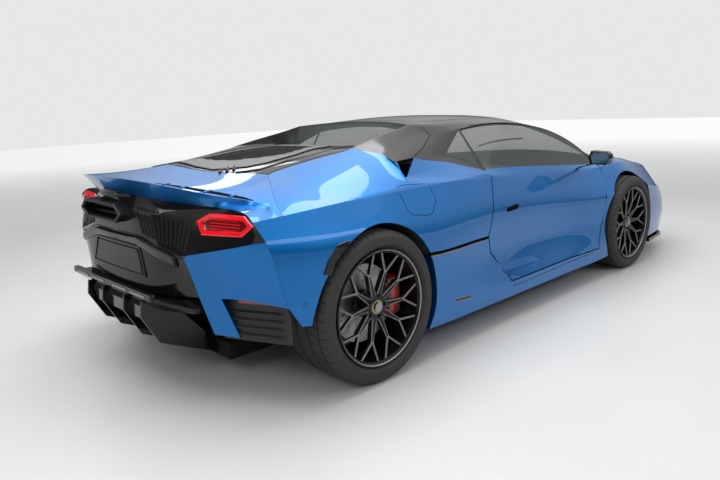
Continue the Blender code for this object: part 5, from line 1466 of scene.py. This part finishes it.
made, holes = bmesh.new(), bmesh.new()
pitch = 0.0185
for row in range(-16, 17):
    for column in range(-22, 23):
        x, y = column * pitch * 0.866, (row + 0.5 * (column % 2)) * pitch
        if abs(y) < 0.006 or not within(x, y, field):
            continue
        place = on_skin((station(x), y, ABOVE), DOWN, 0.0072)
        normal = (on_skin((station(x), y, ABOVE), DOWN, 0.02) - place).normalized()
        across = normal.cross(Vector((1, 0, 0))).normalized()
        along = across.cross(normal)
        rings = []
        for radius, lift in ((0.0100, -0.0004), (0.0086, 0.0018), (0.0076, 0.0018), (0.0070, 0.0002)):
            rings.append([place + (along * math.cos(math.pi * k / 3)
                                   + across * math.sin(math.pi * k / 3)) * radius
                          + normal * lift for k in range(6)])
        ribbon(made, rings, True)
        # Each hole is closed by a flat near-black hexagon: painted shade where the cover is open.
        holes.faces.new([holes.verts.new(p) for p in rings[3]])
bmesh.ops.recalc_face_normals(made, faces=made.faces[:])
for face in holes.faces:
    if face.normal.z < 0:
        face.normal_flip()
fix([mesh_piece("hexagon_mesh", made, [slat_black], 20), mesh_piece("hexagon_hole_shade", holes, [painted_shade_black])],
    "engine_cover")
blades = bmesh.new()
for side in SIDES.values():
    for k in range(3):
        start, end = ((-0.395 + 0.038 * k, 0.336), (-0.350 + 0.038 * k, 0.282))
        sections = []
        for t in (0, 0.5, 1):
            x, y = start[0] + (end[0] - start[0]) * t, side * (start[1] + (end[1] - start[1]) * t)
            base = on_skin((station(x), y, ABOVE), DOWN)
            sections.append([base + Vector(v) for v in ((-0.009, 0, -0.002), (-0.012, 0, 0.009),
                                                        (-0.006, 0, 0.012), (0.009, 0, -0.001))])
        tube(blades, sections)
fix(mesh_piece("cover_cooling_blades", tidy(blades), [piano_black], 25), "engine_cover")
rails = []
for side_name, side in SIDES.items():
    rails.append(line_on_skin(f"cover_rail_{side_name}", from_above([
        (-0.335, 0.372), (-0.225, 0.414), (-0.110, 0.405), (0.068, 0.415), (0.276, 0.395), (0.440, 0.360)],
                                                                    side),
        DOWN, 0.016, [piano_black], 0.006, 0.003, crown=0.5))
fix(rails, "engine_cover")


# Roof and buttresses: black lacquered panels bonded to the frame, parted by fine seams, one round the middle
# of the roof and one down each buttress.
for side_name, side in SIDES.items():
    for name, points in (
            ("buttress_seam", [(0.854, 0.347), (0.830, 0.480), (0.813, 0.602), (0.730, 0.645), (0.647, 0.690),
                               (0.510, 0.745)]),
            ("roof_panel_seam", [(0.900, 0.000), (0.905, 0.300), (0.985, 0.440), (1.350, 0.470),
                                 (1.640, 0.430), (1.700, 0.000)])):
        seam = line_on_skin(f"{name}_{side_name}", from_above(points, side), DOWN, 0.004, [seam_black],
                            0.0004)
        fix(seam, "body")


# Sides: the fuel flap, the air slots, markers and parking sensors that are let into the panels, a flush
# grip in each door, a ribbed black reflector on each rear arch, and the windows' posts and seals.
BESIDE = 1.3


def side_outline(points, side):
    """World points of a list drawn as (metres ahead of the rear axle, z), clear of this side of the car."""
    return [Vector((station(x), side * BESIDE, z)) for x, z in points]


slot_lip = alloy("grey_slot_lip", (0.16, 0.165, 0.17), (0.26, 0.265, 0.27), 0.30, 0.9)
for side_name, side in SIDES.items():
    inward = (0, -side, 0)
    if side < 0:
        flap = line_on_skin("fuel_flap_groove", side_outline([
            (0.245, 0.893), (0.300, 0.892), (0.435, 0.882), (0.458, 0.868), (0.476, 0.815), (0.470, 0.795),
            (0.410, 0.742), (0.380, 0.738), (0.260, 0.757), (0.236, 0.772), (0.222, 0.860), (0.228, 0.885)],
                                                             side),
            inward, 0.0032, [seam_black], 0.0004, loop=True)
        fix(flap, "body")
    # The air slot is a sunken near-black box: painted shade in the opening.
    made = bmesh.new()
    tube(made, [[on_skin(side_outline([(x, z)], side)[0], inward, lift) for z, lift in
                 ((top, -0.003), (top - 0.037, -0.003), (top - 0.037, -0.012), (top, -0.012))]
                for x, top in ((0.340, 0.573), (0.424, 0.564), (0.519, 0.559), (0.661, 0.557), (0.802, 0.555),
                               (0.890, 0.552))])
    slot = mesh_piece(f"air_slot_{side_name}", tidy(made), [painted_shade_black], TRIM_BEND)
    lip = line_on_skin(f"air_slot_lip_{side_name}",
                       side_outline([(0.345, 0.541), (0.430, 0.534), (0.600, 0.528),
                                     (0.893, 0.522)], side), inward, 0.007, [slot_lip], 0.003)
    marker = line_on_skin(f"skirt_marker_{side_name}", side_outline([
        (0.548, 0.268), (0.560, 0.272), (0.690, 0.257), (0.700, 0.248), (0.692, 0.238), (0.562, 0.250),
        (0.548, 0.257)],
        side), inward, 0.005, [slot_lip], 0.0015, loop=True, step=0.01)
    dark = plate_on_skin(f"skirt_marker_field_{side_name}", side_outline([
        (0.552, 0.267), (0.690, 0.254), (0.694, 0.243), (0.556, 0.256)], side), inward, 0.0006, 0.003,
                         [piano_black])
    crease_line = line_on_skin(f"skirt_seam_{side_name}",
                               side_outline([(1.135, 0.255), (1.125, 0.205), (2.10, 0.215)],
                                            side), inward, 0.0035, [seam_black], 0.0004)
    fix([slot, marker, dark, crease_line], "body")
    fix(lip, "body")
    # The flush grip is a thin near-black plate on the door: painted shade in its recess.
    grip = plate_on_skin(f"door_grip_{side_name}",
                         side_outline([(1.105, 0.668), (1.228, 0.673), (1.246, 0.662),
                                       (1.212, 0.645), (1.098, 0.643)], side), inward, 0.0008,
                         0.004, [painted_shade_black])
    blade = line_on_skin(f"door_grip_blade_{side_name}",
                         side_outline([(1.085, 0.676), (1.160, 0.681), (1.235, 0.681)],
                                      side), inward, 0.010, [blue_paint], 0.003)
    fix(grip, f"door_{side_name}")
    fix(blade, f"door_{side_name}")
    reflector = bmesh.new()
    outer = [(-0.345, 0.600), (-0.322, 0.655), (-0.264, 0.712), (-0.190, 0.722)]
    inner = [(-0.309, 0.588), (-0.298, 0.625), (-0.262, 0.664), (-0.216, 0.690)]
    path = side_outline(outer + inner[::-1], side)
    base = plate_on_skin(f"arch_reflector_{side_name}", path, inward, 0.004, 0.008, [piano_black], 0.012,
                         0.002)
    for k in range(16):
        t = (k + 0.5) / 16 * 3
        i = min(int(t), 2)
        a = [outer[i][n] + (outer[i + 1][n] - outer[i][n]) * (t - i) for n in (0, 1)]
        b = [inner[i][n] + (inner[i + 1][n] - inner[i][n]) * (t - i) for n in (0, 1)]
        sections = []
        for share in (0.18, 0.5, 0.82):
            x, z = a[0] + (b[0] - a[0]) * share, a[1] + (b[1] - a[1]) * share
            sections.append([on_skin((station(x + dx), side * BESIDE, z + dx), inward, lift)
                             for dx, lift in ((-0.0022, 0.003), (0, 0.006), (0.0022, 0.003))])
        tube(reflector, sections)
    ribs = mesh_piece(f"arch_reflector_ribs_{side_name}", tidy(reflector), [satin_black], TRIM_BEND)
    spot = on_skin((station(-0.430), side * BESIDE, 0.482), inward)
    sensor = line_on_skin(f"parking_sensor_{side_name}", [
        spot + on_face(0.011, k, 12) + Vector((0, side * 0.1, 0)) for k in range(12)],
        inward, 0.0022, [seam_black], 0.0004, loop=True, step=0.01)
    fix([base, ribs, sensor], "body")

    post = line_on_skin(f"window_post_{side_name}", side_outline([(1.046, 0.886), (1.046, 1.118)], side),
                        inward, 0.016, [satin_black], 0.0012)
    seal = line_on_skin(f"window_seal_{side_name}", side_outline([
        (1.055, 1.121), (1.172, 1.132), (1.341, 1.139), (1.538, 1.133), (1.746, 1.112), (1.908, 1.086),
        (2.051, 1.049), (2.142, 1.018), (2.218, 0.982), (2.295, 0.934),
        (2.346, 0.886)], side), inward, 0.008, [piano_black],
                        0.0012)
    fix([post, seal], "body")


# Ducts behind the rear wheels: a black louvred panel lets the air out of each arch, with a red reflector
# on top.
def block(made, points, index=0):
    """Adds the solid that wraps these points."""
    verts = [made.verts.new(p) for p in points]
    faces = bmesh.ops.convex_hull(made, input=verts)["geom"]
    for face in faces:
        if isinstance(face, bmesh.types.BMFace):
            face.material_index = index


red_reflector = grainy("red_reflector", (0.30, 0.030, 0.022), (0.20, 0.015, 0.012), 0.20, coat=0.5, scale=300)
for side_name, side in SIDES.items():
    made = bmesh.new()

    def across(share, z, back):
        """A point of the duct, a share of the way out from its inner edge, this far behind it."""
        return flipped(drawn([(-0.625 + 0.130 * share - back, 0.630 + 0.300 * share, z)]), side)[0]

    block(made, [across(s, z, b) for s in (0, 1) for z in (0.320, 0.506) for b in (0, -0.010)])
    for k in range(4):
        z = 0.350 + 0.034 * k
        block(made, [across(s, z + dz, b) for s in (0.05, 0.93)
                     for dz, b in ((0, -0.002), (0.006, -0.002), (-0.004, 0.014), (-0.001, 0.014))])
    block(made, [across(s, z, b) for s in (0.30, 0.88) for z in (0.490, 0.506) for b in (-0.002, 0.012)], 1)
    bmesh.ops.recalc_face_normals(made, faces=made.faces[:])
    duct = mesh_piece(f"arch_duct_{side_name}", made, [satin_black, red_reflector], TRIM_BEND)
    fix(duct, "body")


# Wheel-arch liners: pressed black felted plastic round each tyre, screwed to the arches from inside. The
# front ones stand further off, because the steered tyre's shoulder swings out to 0.389 m from its axle,
# and in to 0.579 m from the car's middle.
felt = grainy("felted_arch_liner", (0.022, 0.022, 0.022), (0.010, 0.010, 0.010), 0.85, scale=700,
              height=0.0008)
for place, size, x, radius, wall in (("front", FRONT_WHEEL, FRONT_AXLE_X, FRONT_ARCH_R + 0.018, 0.570),
                                     ("rear", REAR_WHEEL, REAR_AXLE_X, REAR_ARCH_R, 0.600)):
    for side_name, side in SIDES.items():
        made = bmesh.new()
        sections = []
        for k in range(41):
            angle = math.radians(-24 + (228 if place == "front" else 194) * k / 40)
            way = Vector((math.cos(angle), 0, math.sin(angle)))
            centre = Vector((x, 0, size["tyre_r"]))
            reach = on_skin(centre + way * (radius + 0.02) + Vector((0, side * BESIDE, 0)),
                            (0, -side, 0)).y * side - 0.017
            sections.append([centre + way * r + Vector((0, side * y, 0))
                             for r, y in ((radius + 0.0025, wall), (radius + 0.0025, reach),
                                          (radius + 0.0055, reach), (radius + 0.0055, wall - 0.003),
                                          (radius - 0.14, wall - 0.003),
                                          (radius - 0.14, wall))])
        tube(made, sections)
        liner = mesh_piece(f"arch_liner_{place}_{side_name}", tidy(made), [felt], TRIM_BEND)
        fix(liner, "body")


# Door mirrors: a faceted black shell on two slim struts, with the mirror glass let into its rear face.
# The mirror glass is dark green and reflects little of what it faces: painted shade over its reflection,
# which stands for a dim room.
mirror_glass = alloy("dark_green_mirror_painted_shade", (0.10, 0.13, 0.12), (0.14, 0.17, 0.16), 0.02, 1.0)
for side_name, side in SIDES.items():
    face = [(0.988, 0.840), (1.092, 0.835), (1.118, 0.870), (1.102, 0.920), (0.990, 0.926), (0.972, 0.882)]
    made = bmesh.new()
    middle = Vector((0, 1.045, 0.880))
    rows = []
    for x, share in ((1.968, 0.86), (1.968, 0.90), (1.953, 0.97), (1.960, 1.0), (2.010, 1.0), (2.042, 0.82),
                     (2.058, 0.50)):
        ring = [Vector((station(x), middle.y + (y - middle.y) * share, middle.z + (z - middle.z) * share))
                for y, z in face]
        rows.append(flipped(dense(ring, 0.012), side))
    counts = min(len(row) for row in rows)
    rows = [[row[round(i * len(row) / counts) % len(row)] for i in range(counts)] for row in rows]
    ends = ribbon(made, rows, True)
    made.faces.new(ends[-1])
    made.faces.new(ends[0][::-1]).material_index = 1
    for y0, z0, x0, y1, z1, x1 in ((1.000, 0.846, 1.985, 0.905, 0.792, 2.085),
                                   (1.022, 0.846, 2.020, 0.912, 0.796, 2.125)):
        a, b = (Vector((station(x), side * y * HALF_WIDTH / 0.998, z)) for x, y,
                z in ((x0, y0, z0), (x1, y1, z1)))
        foot = on_skin((b.x, side * BESIDE, b.z), (0, -side, 0), 0.0004)
        tube(made, [[p + Vector((dx, 0, dz)) for dx, dz in ((-0.009, -0.004), (0.009, -0.004), (0.009, 0.004),
                                                           (-0.009, 0.004))] for p in (a, a.lerp(foot, 0.5),
                                                                                       foot)])
    bmesh.ops.recalc_face_normals(made, faces=made.faces[:])
    mirror = mesh_piece(f"door_mirror_{side_name}", made, [piano_black, mirror_glass], 28)
    fix(mirror, f"door_{side_name}", f"mirror_{side_name}")


# Nose: lamps let into the corners of the front bumper, three intakes filled with black slats, the splitter
# under them, and the wiper. The photograph doesn't show this end, so it is kept plain.
lamp_chrome = alloy("lamp_reflector", (0.30, 0.30, 0.31), (0.45, 0.45, 0.46), 0.12, 1.0)
lamp_white = lamp_glow("lamp_light_guide", (0.70, 0.72, 0.75), (0.85, 0.92, 1.0), 0.5)
for side_name, side in SIDES.items():
    outline = [p + Vector((0, 0, 0.7)) for p in flipped(HEAD_LAMP, side)]
    made = let_in(outline, DOWN, 0.02, (
        (0, ((0.0005, -0.011), (0.0005, 0.0), (0.003, 0.0006), (0.008, -0.003), (0.010, -0.008))),
        (1, ((0.010, -0.008), (0.020, -0.010)))), ((0.020, -0.010), (0.0005, -0.011)))
    a, b, c = [outline[0].lerp(outline[i], t) for i, t in ((1, 0.5), (3, 0.55), (4, 0.8))]
    middle = sum(outline, Vector()) / 5
    for end in (a, b, c):
        path = dense([middle, middle.lerp(end, 0.75)], 0.015, False)
        tube(made, [[on_skin(p + Vector((0, dy, 0)), DOWN, lift) for dy,
                     lift in ((-0.005, -0.0095), (-0.003, -0.0055),
                             (0.003, -0.0055), (0.005, -0.0095))]
                    for p in path], index=2)
    bmesh.ops.recalc_face_normals(made, faces=made.faces[:])
    lamp = mesh_piece(f"head_lens_{side_name}", made, [piano_black, lamp_chrome, lamp_white], TRIM_BEND)
    fix(lamp, "body", f"head_lamp_{side_name}")
BACK = (-1, 0, 0)
for name, outline in (("left", flipped(INTAKE, 1)), ("right", flipped(INTAKE, -1)),
                      ("centre", INTAKE_CENTRE)):
    outline = [p + Vector((1.2, 0, 0)) for p in outline]
    # The flat faces behind the slats are near black: painted shade at the back of each intake.
    made = let_in(outline, BACK, 0.03,
                  ((0, ((0.0005, -0.011), (0.0005, 0.0), (0.006, 0.001), (0.010, -0.006))),),
                  ((0.010, -0.006), (0.0005, -0.011)))
    inner = pushed(outline, -0.012, BACK)
    low, high = min(p.z for p in inner), max(p.z for p in inner)
    z = low + 0.012
    while z < high - 0.004:
        cuts = []
        for p, q in zip(inner, inner[1:] + inner[:1]):
            if (p.z > z) != (q.z > z):
                cuts.append(p.y + (q.y - p.y) * (z - p.z) / (q.z - p.z))
        cuts.sort()
        path = dense([Vector((outline[0].x, cuts[0], z)), Vector((outline[0].x, cuts[-1], z))], 0.03, False)
        tube(made, [[on_skin(p + Vector((0, 0, dz)), BACK, lift) for dz,
                     lift in ((-0.003, -0.006), (-0.002, 0.0),
                             (0.002, 0.0), (0.003, -0.006))]
                    for p in path], index=0)
        z += 0.020
    bmesh.ops.recalc_face_normals(made, faces=made.faces[:])
    intake = mesh_piece(f"intake_slats_{name}", made, [slat_black, painted_shade_black], TRIM_BEND)
    fix(intake, "body", f"front_intake_{name}")
frame["nodes"]["front_splitter"].data.materials[0] = piano_black
wiper = bmesh.new()
path = dense([(station(2.66), 0.40, 1.4), (station(2.56), -0.10, 1.4)], 0.04, False)
tube(wiper, [[on_skin(p + Vector((dx, 0, 0)), DOWN, lift)
              for dx, lift in ((-0.006, 0.0005), (-0.003, 0.012), (0.003, 0.012), (0.006, 0.0005))]
             for p in path])
fix(mesh_piece("wiper_arm", tidy(wiper), [satin_black], TRIM_BEND), "body")


# Cabin: two bucket seats with sewn leather pads and orange piping on black shells, and an orange pull on
# each door. Each pad is foam in a sewn leather cover, so it is swelled as a cloth.
GRAINS = 420.0
MOST_SWELL = 0.012
SEWN_DIP = 0.010


def leather(name, light, dark):
    """Grained leather: a fine pebbled surface whose shine varies in clouds."""
    made, start, inputs = finish(name)
    place = start.node("ShaderNodeTexCoord", out="Object")
    cells = start.node("ShaderNodeTexVoronoi", {"feature": "DISTANCE_TO_EDGE"},
                       {"Vector": place, "Scale": GRAINS})
    cloud = noise(start, 12.0, 4)
    wire(inputs, "Base Color", cloud.mix(dark, light))
    wire(inputs, "Roughness", 0.44 + cloud * 0.14)
    wire(inputs, "Normal", bump(start, cells, 0.0008, 0.6))
    return made


black_leather = leather("black_grained_leather", (0.030, 0.030, 0.032), (0.016, 0.016, 0.017))
orange_leather = leather("orange_leather_trim", (0.80, 0.13, 0.015), (0.60, 0.08, 0.010))


def pad(name, sections):
    """A stuffed pad: a closed block through cross-sections, remeshed, and swelled as a cloth by pressure."""
    made = bmesh.new()
    tube(made, sections)
    bmesh.ops.recalc_face_normals(made, faces=made.faces[:])
    piece = mesh_piece(name, made, [black_leather], 60)
    step = piece.modifiers.new("remesh", "REMESH")
    step.mode, step.voxel_size = "VOXEL", 0.006
    bpy.ops.object.select_all(action="DESELECT")
    piece.select_set(True)
    bpy.context.view_layer.objects.active = piece
    bpy.ops.object.modifier_apply(modifier="remesh")
    before = [v.co.copy() for v in piece.data.vertices]
    cloth = piece.modifiers.new("stuffing", "CLOTH")
    cloth.settings.use_pressure, cloth.settings.uniform_pressure_force = True, 4.0
    cloth.settings.effector_weights.gravity = 0
    for number in range(1, 21):
        bpy.context.scene.frame_set(number)
    bpy.ops.object.modifier_apply(modifier="stuffing")
    bpy.context.scene.frame_set(1)
    for vert, start in zip(piece.data.vertices, before):
        move = vert.co - start
        if move.length > MOST_SWELL:
            vert.co = start + move * MOST_SWELL / move.length
    step = piece.modifiers.new("smooth", "SMOOTH")
    step.factor, step.iterations = 0.5, 3
    bpy.ops.object.modifier_apply(modifier="smooth")
    step = piece.modifiers.new("round", "SUBSURF")
    step.levels = step.render_levels = 1
    bpy.ops.object.modifier_apply(modifier="round")
    piece.data.shade_smooth()
    return piece


def lifted(a, b, count, half, deep, side_y, channels=0):
    """Cross-sections of a pad from point a to point b of its middle line, across the car, with sewn dips."""
    way = (b - a).normalized()
    up = Vector((-way.z, 0, way.x))
    if up.z < 0:
        up = -up
    out = []
    for i in range(count):
        t = i / (count - 1)
        end = math.sin(math.pi * min(max(t, 0.04), 0.96)) ** 0.25
        groove = SEWN_DIP * (channels and abs(math.sin(math.pi * channels * t)) < 0.22)
        p = a.lerp(b, t)
        width, thick = half * (0.90 + 0.10 * end), deep * (0.55 + 0.45 * end) - groove
        out.append([p + Vector((0, side_y + width * u, 0)) + up * thick * v
                    for u, v in ((-1, 0.0), (-1, 0.7), (-0.85, 1.0), (-0.45, 0.72), (0, 0.62), (0.45, 0.72),
                                 (0.85, 1.0), (1, 0.7), (1, 0.0))])
    return out


SEAT_PADS = (("cushion", (1.20, 0.210), (1.665, 0.225), 0.180, 0.090, 3),
             ("backrest", (1.165, 0.300), (0.975, 0.760), 0.170, 0.075, 4),
             ("headrest", (0.945, 0.800), (0.905, 0.915), 0.110, 0.055, 0))
for part, (x0, z0), (x1, z1), half, deep, channels in SEAT_PADS:
    a, b = Vector((station(x0), 0, z0)), Vector((station(x1), 0, z1))
    first = pad(f"seat_{part}_left", lifted(a, b, 25, half, deep, 0.36, channels))
    second = bpy.data.objects.new(f"seat_{part}_right", first.data.copy())
    bpy.context.scene.collection.objects.link(second)
    for vert in second.data.vertices:
        vert.co.y -= 0.72
    for piece in (first, second):
        fix(piece, "body")
for side_name, side in SIDES.items():
    made = bmesh.new()
    middle = side * 0.36
    for sections in (
            [[Vector((station(x), middle + dy, z + dz)) for dy,
              dz in ((-0.20, 0), (0.20, 0), (0.205, 0.03), (0.215, rise),
                    (0.195, rise), (0.175, 0.035), (-0.175, 0.035), (-0.195, rise), (-0.215, rise),
                    (-0.205, 0.03))]
             for x, z, rise in ((1.16, 0.160, 0.14), (1.30, 0.157, 0.15), (1.50, 0.160, 0.13),
                                (1.67, 0.165, 0.06))],
            [[Vector((station(x + dx), middle + dy * wide, z)) for dy,
              dx in ((-1, 0.0), (1, 0.0), (1.02, 0.06),
                    (0.95, 0.115 * bolster), (0.84, 0.05), (0.80, 0.026), (-0.80, 0.026), (-0.84, 0.05),
                    (-0.95, 0.115 * bolster), (-1.02, 0.06))]
             for x, z, wide, bolster in ((1.105, 0.27, 0.200, 1), (1.03, 0.45, 0.205, 1),
                                         (0.955, 0.62, 0.205, 1), (0.905, 0.74, 0.185, 0.8),
                                         (0.870, 0.83, 0.125, 0.5),
                                         (0.835, 0.93, 0.110, 0.4))]):
        tube(made, sections)
    shell = mesh_piece(f"seat_shell_{side_name}", tidy(made), [satin_black], 40)
    fix(shell, "body", f"seat_{side_name}")
    piping = bmesh.new()
    for edge in (-0.197, 0.197):
        path = [Vector((station(x), middle + edge, z)) for x,
                z in ((1.205, 0.312), (1.35, 0.322), (1.52, 0.304), (1.64, 0.250))]
        tube(piping,
             [[p + Vector((0, dy, dz)) for dy, dz in ((-0.005, 0), (0, 0.005), (0.005, 0), (0, -0.005))]
              for p in spline(path, 13)])
    fix(mesh_piece(f"seat_piping_{side_name}", tidy(piping), [orange_leather], 60), "body")
    rest = bmesh.new()
    tube(rest, [[Vector((station(x), side * (y + dy), z + dz)) for dy,
                 dz in ((-0.010, -0.045), (0.010, -0.045), (0.014, 0.010),
                      (0.004, 0.018), (-0.010, 0.010))]
                for x, y, z in ((1.18, 0.742, 0.815), (1.22, 0.735, 0.826), (1.40, 0.730, 0.818),
                                (1.46, 0.735, 0.802))])
    fix(mesh_piece(f"door_pull_{side_name}", tidy(rest), [orange_leather], 50), f"door_{side_name}")


# Dashboard: a leather-covered beam with an instrument screen and a centre screen, and the flat-bottomed
# wheel on its column.
screen_glass = grainy("dark_screen_glass", (0.006, 0.007, 0.009), (0.003, 0.003, 0.004), 0.06, coat=0.6,
                      scale=300)
dash = bpy.data.objects.new("leather_dashboard", frame["nodes"]["dashboard"].data.copy())
bpy.context.scene.collection.objects.link(dash)
made = bmesh.new()
made.from_mesh(dash.data)
bmesh.ops.remove_doubles(made, verts=made.verts[:], dist=0.0001)
bmesh.ops.dissolve_limit(made, angle_limit=math.radians(2), verts=made.verts[:], edges=made.edges[:])
bmesh.ops.bevel(made, geom=[e for e in made.edges if e.calc_face_angle(0) > math.radians(25)], offset=0.012,
                segments=3, affect="EDGES", clamp_overlap=True)
made.to_mesh(dash.data)
made.free()
dash.data.materials.clear()
dash.data.materials.append(black_leather)
dash.data.shade_smooth()
dash.data.set_sharp_from_angle(angle=math.radians(40))
fix(dash, "body", "dashboard")
COLUMN_SLOPE, COLUMN_REACH = math.radians(20), 0.206
wheel_centre = drawn([(1.74, 0.36, 0.72)])[0]
down_column = Vector((math.cos(COLUMN_SLOPE), 0, -math.sin(COLUMN_SLOPE)))
up_column = Vector((math.sin(COLUMN_SLOPE), 0, math.cos(COLUMN_SLOPE)))
screens = bmesh.new()
for y, z, wide, tall in ((0.36, 0.085, 0.13, 0.045), (0.0, 0.02, 0.10, 0.055)):
    middle = wheel_centre + down_column * (COLUMN_REACH - 0.0035) + up_column * z
    middle.y = y
    tube(screens, [[middle + Vector((0, u * wide, 0)) + up_column * v * tall - down_column * off
                    for u, v in ((-1, -0.8), (-0.9, -1), (0.9, -1), (1, -0.8), (1, 0.8), (0.9, 1), (-0.9, 1),
                                 (-1, 0.8))]
                   for off in (0.0, 0.006)])
fix(mesh_piece("dash_screens", tidy(screens), [screen_glass], TRIM_BEND), "body")
turn = Matrix.Translation(wheel_centre) @ Matrix.Rotation(COLUMN_SLOPE, 4,
                                                          "Y") @ Matrix.Rotation(math.radians(-90), 4, "Z")
made = bmesh.new()
sections = []
for k in range(64):
    angle = 2 * math.pi * k / 64
    reach = 0.176 * min(1, 0.80 / max(-math.sin(angle), 0.001)) if math.sin(angle) < -0.80 else 0.176
    out = Vector((math.cos(angle), 0, math.sin(angle)))
    sections.append([out * (reach + 0.011 * math.cos(t)) + Vector((0, 0.0115 * math.sin(t), 0))
                     for t in (2 * math.pi * n / 10 for n in range(10))])
tube(made, sections, loop=True)
tidy(made)
for angle in (0, 180, 270):
    out = Vector((math.cos(math.radians(angle)), 0, math.sin(math.radians(angle))))
    across = Vector((-out.z, 0, out.x))
    reach = 0.142 if angle == 270 else 0.168
    tube(made, [[out * r + across * u * wide + Vector((0, v * 0.006, 0)) for u,
                 v in ((-1, -1), (1, -1), (1, 1), (-1, 1))]
                for r, wide in ((0.03, 0.022), (0.09, 0.014), (reach, 0.018))], index=1)
tube(made, [[Vector((math.cos(t) * r, y, math.sin(t) * r * 0.9))
             for t in (2 * math.pi * n / 20 for n in range(20))]
            for y, r in ((-0.012, 0.040), (-0.010, 0.048), (0.012, 0.048), (0.02, 0.028),
                         (COLUMN_REACH - 0.0005, 0.0275))], index=1)
bmesh.ops.recalc_face_normals(made, faces=made.faces[:])
made.transform(turn)
wheel = mesh_piece("flat_bottomed_wheel", made, [black_leather, satin_black], 40)
fix(wheel, "steering_wheel", "steering_wheel")


# What stays as the solids have it: the carpeted floor tray and bulkheads, made near black partly as painted
# shade under the car, and the engine's plain block.
# The tray's near black is its own black and painted shade: it is darkened to stand for the shadow under the
# car.
tray_black_and_shade = grainy("black_tray_darkened_as_shade", (0.010, 0.010, 0.011), (0.005, 0.005, 0.005), 0.80, scale=600,
                height=0.0006, shine=0.2)
casting = grainy("sand_cast_engine", (0.11, 0.11, 0.115), (0.06, 0.06, 0.062), 0.60, metallic=0.6, scale=300,
                 height=0.0005)
frame["nodes"]["floor_tub"].data.materials[0] = tray_black_and_shade
frame["nodes"]["engine_block"].data.materials[0] = casting
